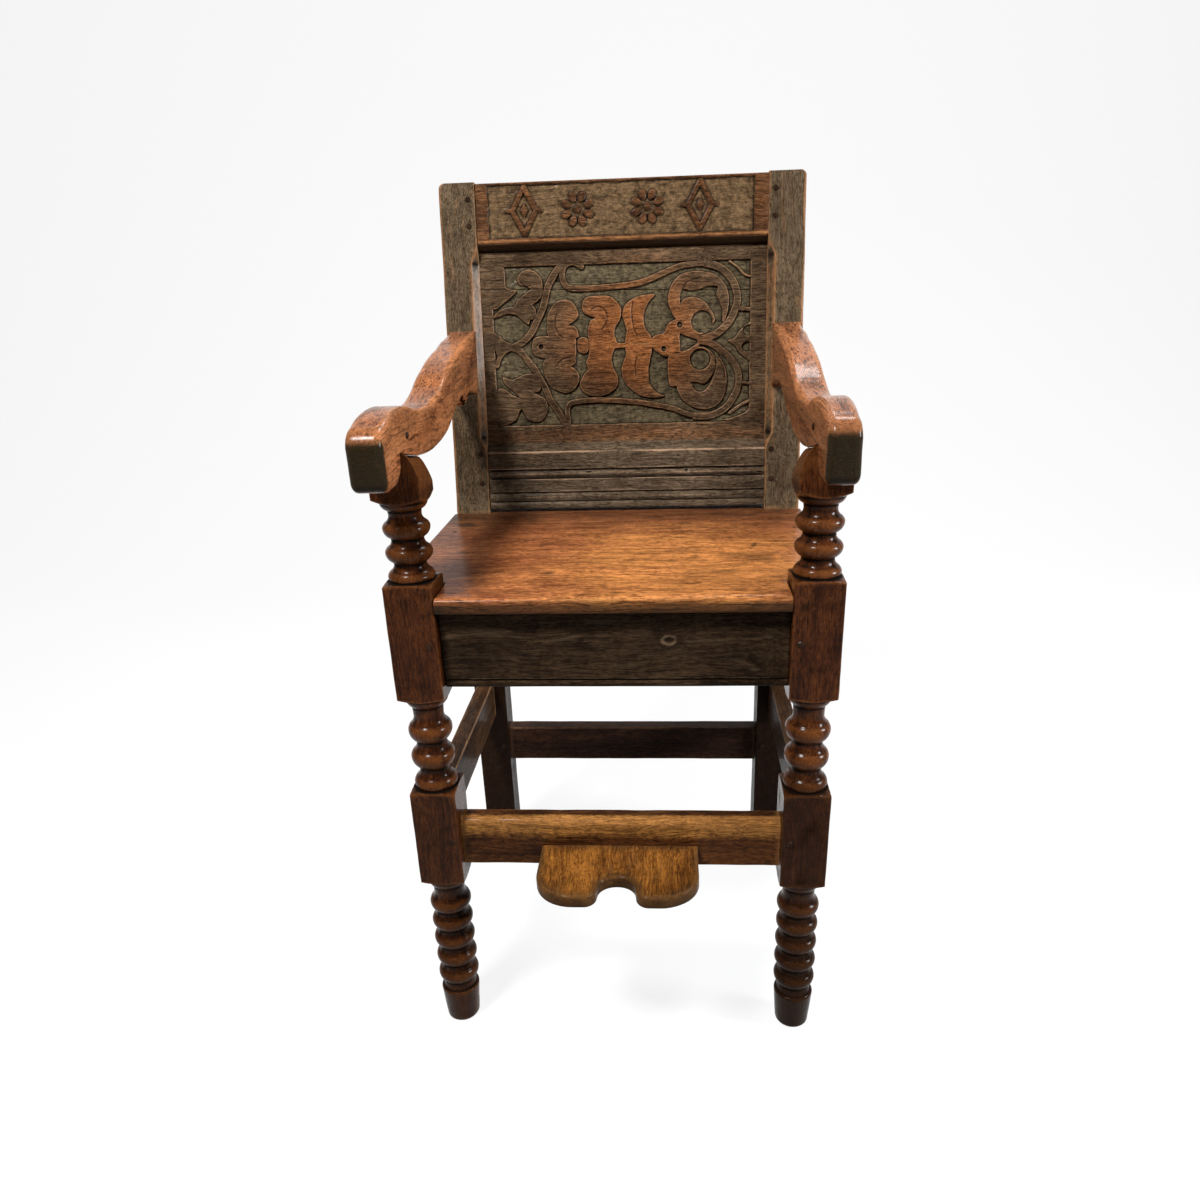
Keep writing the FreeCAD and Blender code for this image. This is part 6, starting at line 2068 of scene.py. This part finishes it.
def rest_side(side):
    """Corners and bends of one half of the footrest's plan, from its root to its notch."""
    half = rest_high[0]
    lobe_bend = REST_LOBE * BEND_SHARE
    lip_bend = LIP_ROUND * BEND_SHARE
    return [
        ("corner", side * half, rest_root),
        ("corner", side * half, rest_tip + REST_LOBE),
        ("bend", side * (half - lobe_bend), rest_tip + lobe_bend),
        ("corner", side * (half - REST_LOBE), rest_tip),
        ("corner", side * (LIP_HALF + LIP_ROUND), rest_tip),
        ("bend", side * (LIP_HALF + lip_bend), rest_tip + lip_bend),
        ("corner", side * LIP_HALF, rest_tip + LIP_ROUND),
        ("corner", side * NOTCH_HALF, rest_tip + NOTCH_DEPTH - NOTCH_HALF * 0.7),
    ]


def footrest():
    path = rest_side(-1) + [("bend", 0, rest_tip + NOTCH_DEPTH)] + rest_side(1)[::-1]
    outline = even_steps(outline_of(path), REST_POINT_STEP)
    ways = inward_ways(outline)
    edge = evened(np.where(outline[:, 1] > rest_root - 2, REST_ROOT_EDGE, REST_EDGE), 4)
    levels = [(rest_low[2], edge * UNDER_SHARE, turn) for turn in ROUND_TURNS]
    levels += [(rest_high[2], -edge, turn) for turn in ROUND_TURNS[::-1]]
    rings = []
    for level, radius, turn in levels:
        spots = outline + ways * (np.abs(radius) * (1 - math.sin(turn)))[:, None]
        ring = np.column_stack([spots, level + radius * (1 - math.cos(turn))])
        ring[:, :2] += ways * (0.6 * wobble(ring, 16, 163))[:, None]
        rings.append(ring)
    for inset in TOP_INSETS:
        spots = outline + ways * (REST_EDGE + inset)
        dished = np.full(len(outline), rest_high[2] - TOP_DISH * inset)
        rings.append(np.column_stack([spots, dished]))
    tongue = box_shape(
        (-TONGUE_HALF, rest_root - TONGUE_ROOT, rest_low[2] + TONGUE_SHOULDER),
        (TONGUE_HALF, rest_high[1], rest_high[2] - TONGUE_SHOULDER),
    )
    shape = together(loft(rings), tongue)
    # Painted shade darkens its sides and underside, and round the rim of its top, fading inward.
    stain_and_shade = 0.55 + 0.2 * soft_step(rest_high[2] - shape[0][:, 2], 4, 9)
    for place, strength in enumerate(RIM_SHADES, start=len(rings) - len(RIM_SHADES)):
        row = slice(place * len(outline), (place + 1) * len(outline))
        stain_and_shade[row] = strength * (0.4 + 1.2 * wobble(shape[0][row], 20, 199))
    dress("footrest", shape, "footrest", {"stain_and_shade": stain_and_shade})


footrest()

# %% [markdown]
# ## Pegs
#
# The pegs keep the frame's own shape, whittled with eight sides, and get a dark finish.

# %% Pegs
peg_nodes = [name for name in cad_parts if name.endswith("_pegs") or name == "seat_pins"]
for name in peg_nodes:
    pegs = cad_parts[name]
    pegs.data.materials.clear()
    pegs.data.materials.append(finishes["pegs"])
print("groups of pegs:", len(peg_nodes))

# %% [markdown]
# ## Stage and light
#
# The chair stands on a plain pale floor that curves up behind it. The brightest lamp is
# high at the left, in front of the chair, and casts the shadow on the left of the back.
# A larger one low at the right and a weak one above and behind keep the dark oak open.

# %% Stage
FLOOR_TONE = 0.86
THROWN_BACK = (0.25, 0.24, 0.23)
GLOW_SHARE = 0.86
FLOOR_REACH = 4.0
FLOOR_FRONT = -2.4
WALL_BACK = 3.0
WALL_CURVE = 1.6
WALL_TOP = 4.0


def stage_finish(name):
    """A matt floor, pale where it is seen and darker to the light that it throws back."""
    finish = blank_finish(name)
    tree = finish.node_tree
    path = tree.nodes.new("ShaderNodeLightPath")
    camera_ray, glossy_ray, through_ray = (
        Wire(tree, path.outputs[f"Is {kind} Ray"]) for kind in ("Camera", "Glossy", "Transmission")
    )
    seen = (camera_ray + glossy_ray + through_ray).held()
    thrown = seen.node("ShaderNodeBsdfDiffuse", None, {"Color": solid(THROWN_BACK)})
    matt = seen.node("ShaderNodeBsdfDiffuse", None, {"Color": solid((FLOOR_TONE,) * 3)})
    glow = seen.node("ShaderNodeEmission", None, {"Color": solid((1, 1, 1)), "Strength": 1.0})
    shown = seen.node("ShaderNodeMixShader", None, {0: GLOW_SHARE, 1: matt, 2: glow})
    whole = seen.node("ShaderNodeMixShader", None, {0: seen, 1: thrown, 2: shown})
    seen.node("ShaderNodeOutputMaterial", None, {"Surface": whole}, output=None)
    return finish


def sweep_floor():
    """A floor that runs back and turns up into a wall on a wide curve."""
    profile = [(FLOOR_FRONT, 0.0), (WALL_BACK - WALL_CURVE, 0.0)]
    for turn in np.radians(np.arange(7.5, 90, 7.5)):
        curve_back = WALL_BACK - WALL_CURVE + WALL_CURVE * math.sin(turn)
        profile.append((curve_back, WALL_CURVE * (1 - math.cos(turn))))
    profile += [(WALL_BACK, WALL_CURVE), (WALL_BACK, WALL_TOP)]
    points = [(across, *spot) for spot in profile for across in (-FLOOR_REACH, FLOOR_REACH)]
    faces = [(2 * row, 2 * row + 1, 2 * row + 3, 2 * row + 2) for row in range(len(profile) - 1)]
    mesh = bpy.data.meshes.new("floor")
    mesh.from_pydata(points, [], faces)
    mesh.shade_smooth()
    mesh.materials.append(stage_finish("pale floor"))
    return stand("floor", mesh)


sweep_floor()
print("floor, seen as", FLOOR_TONE)

# %% Lamps and world
WORLD_COLOUR = (1.0, 0.96, 0.91)
WORLD_STRENGTH = 0.11


def soft_light(name, place, target, width, power, tint=(1.0, 1.0, 1.0)):
    """A square soft light aimed at a point."""
    lamp = bpy.data.lights.new(name, "AREA")
    lamp.shape = "SQUARE"
    lamp.size = width
    lamp.energy = power
    lamp.color = tint
    away = (np.array(place) - np.array(target)).astype(float)
    away /= np.linalg.norm(away)
    aside = np.cross((0, 0, 1), away)
    aside /= np.linalg.norm(aside)
    turn_to(stand(name, lamp), aside, np.cross(away, aside), away, place)


soft_light("key", (-0.8, -1.15, 2.4), (0, 0.05, 0.65), 0.4, 94)
soft_light("side", (2.0, -0.45, 1.15), (0, 0, 0.6), 0.5, 72, (0.95, 0.98, 1.0))
soft_light("top", (0.5, 0.9, 2.3), (0, 0, 0.6), 0.7, 28)

world = bpy.data.worlds.new("studio")
world.use_nodes = True
bpy.context.scene.world = world
background = world.node_tree.nodes["Background"]
background.inputs["Color"].default_value = solid(WORLD_COLOUR)
background.inputs["Strength"].default_value = WORLD_STRENGTH
print("world strength", WORLD_STRENGTH)
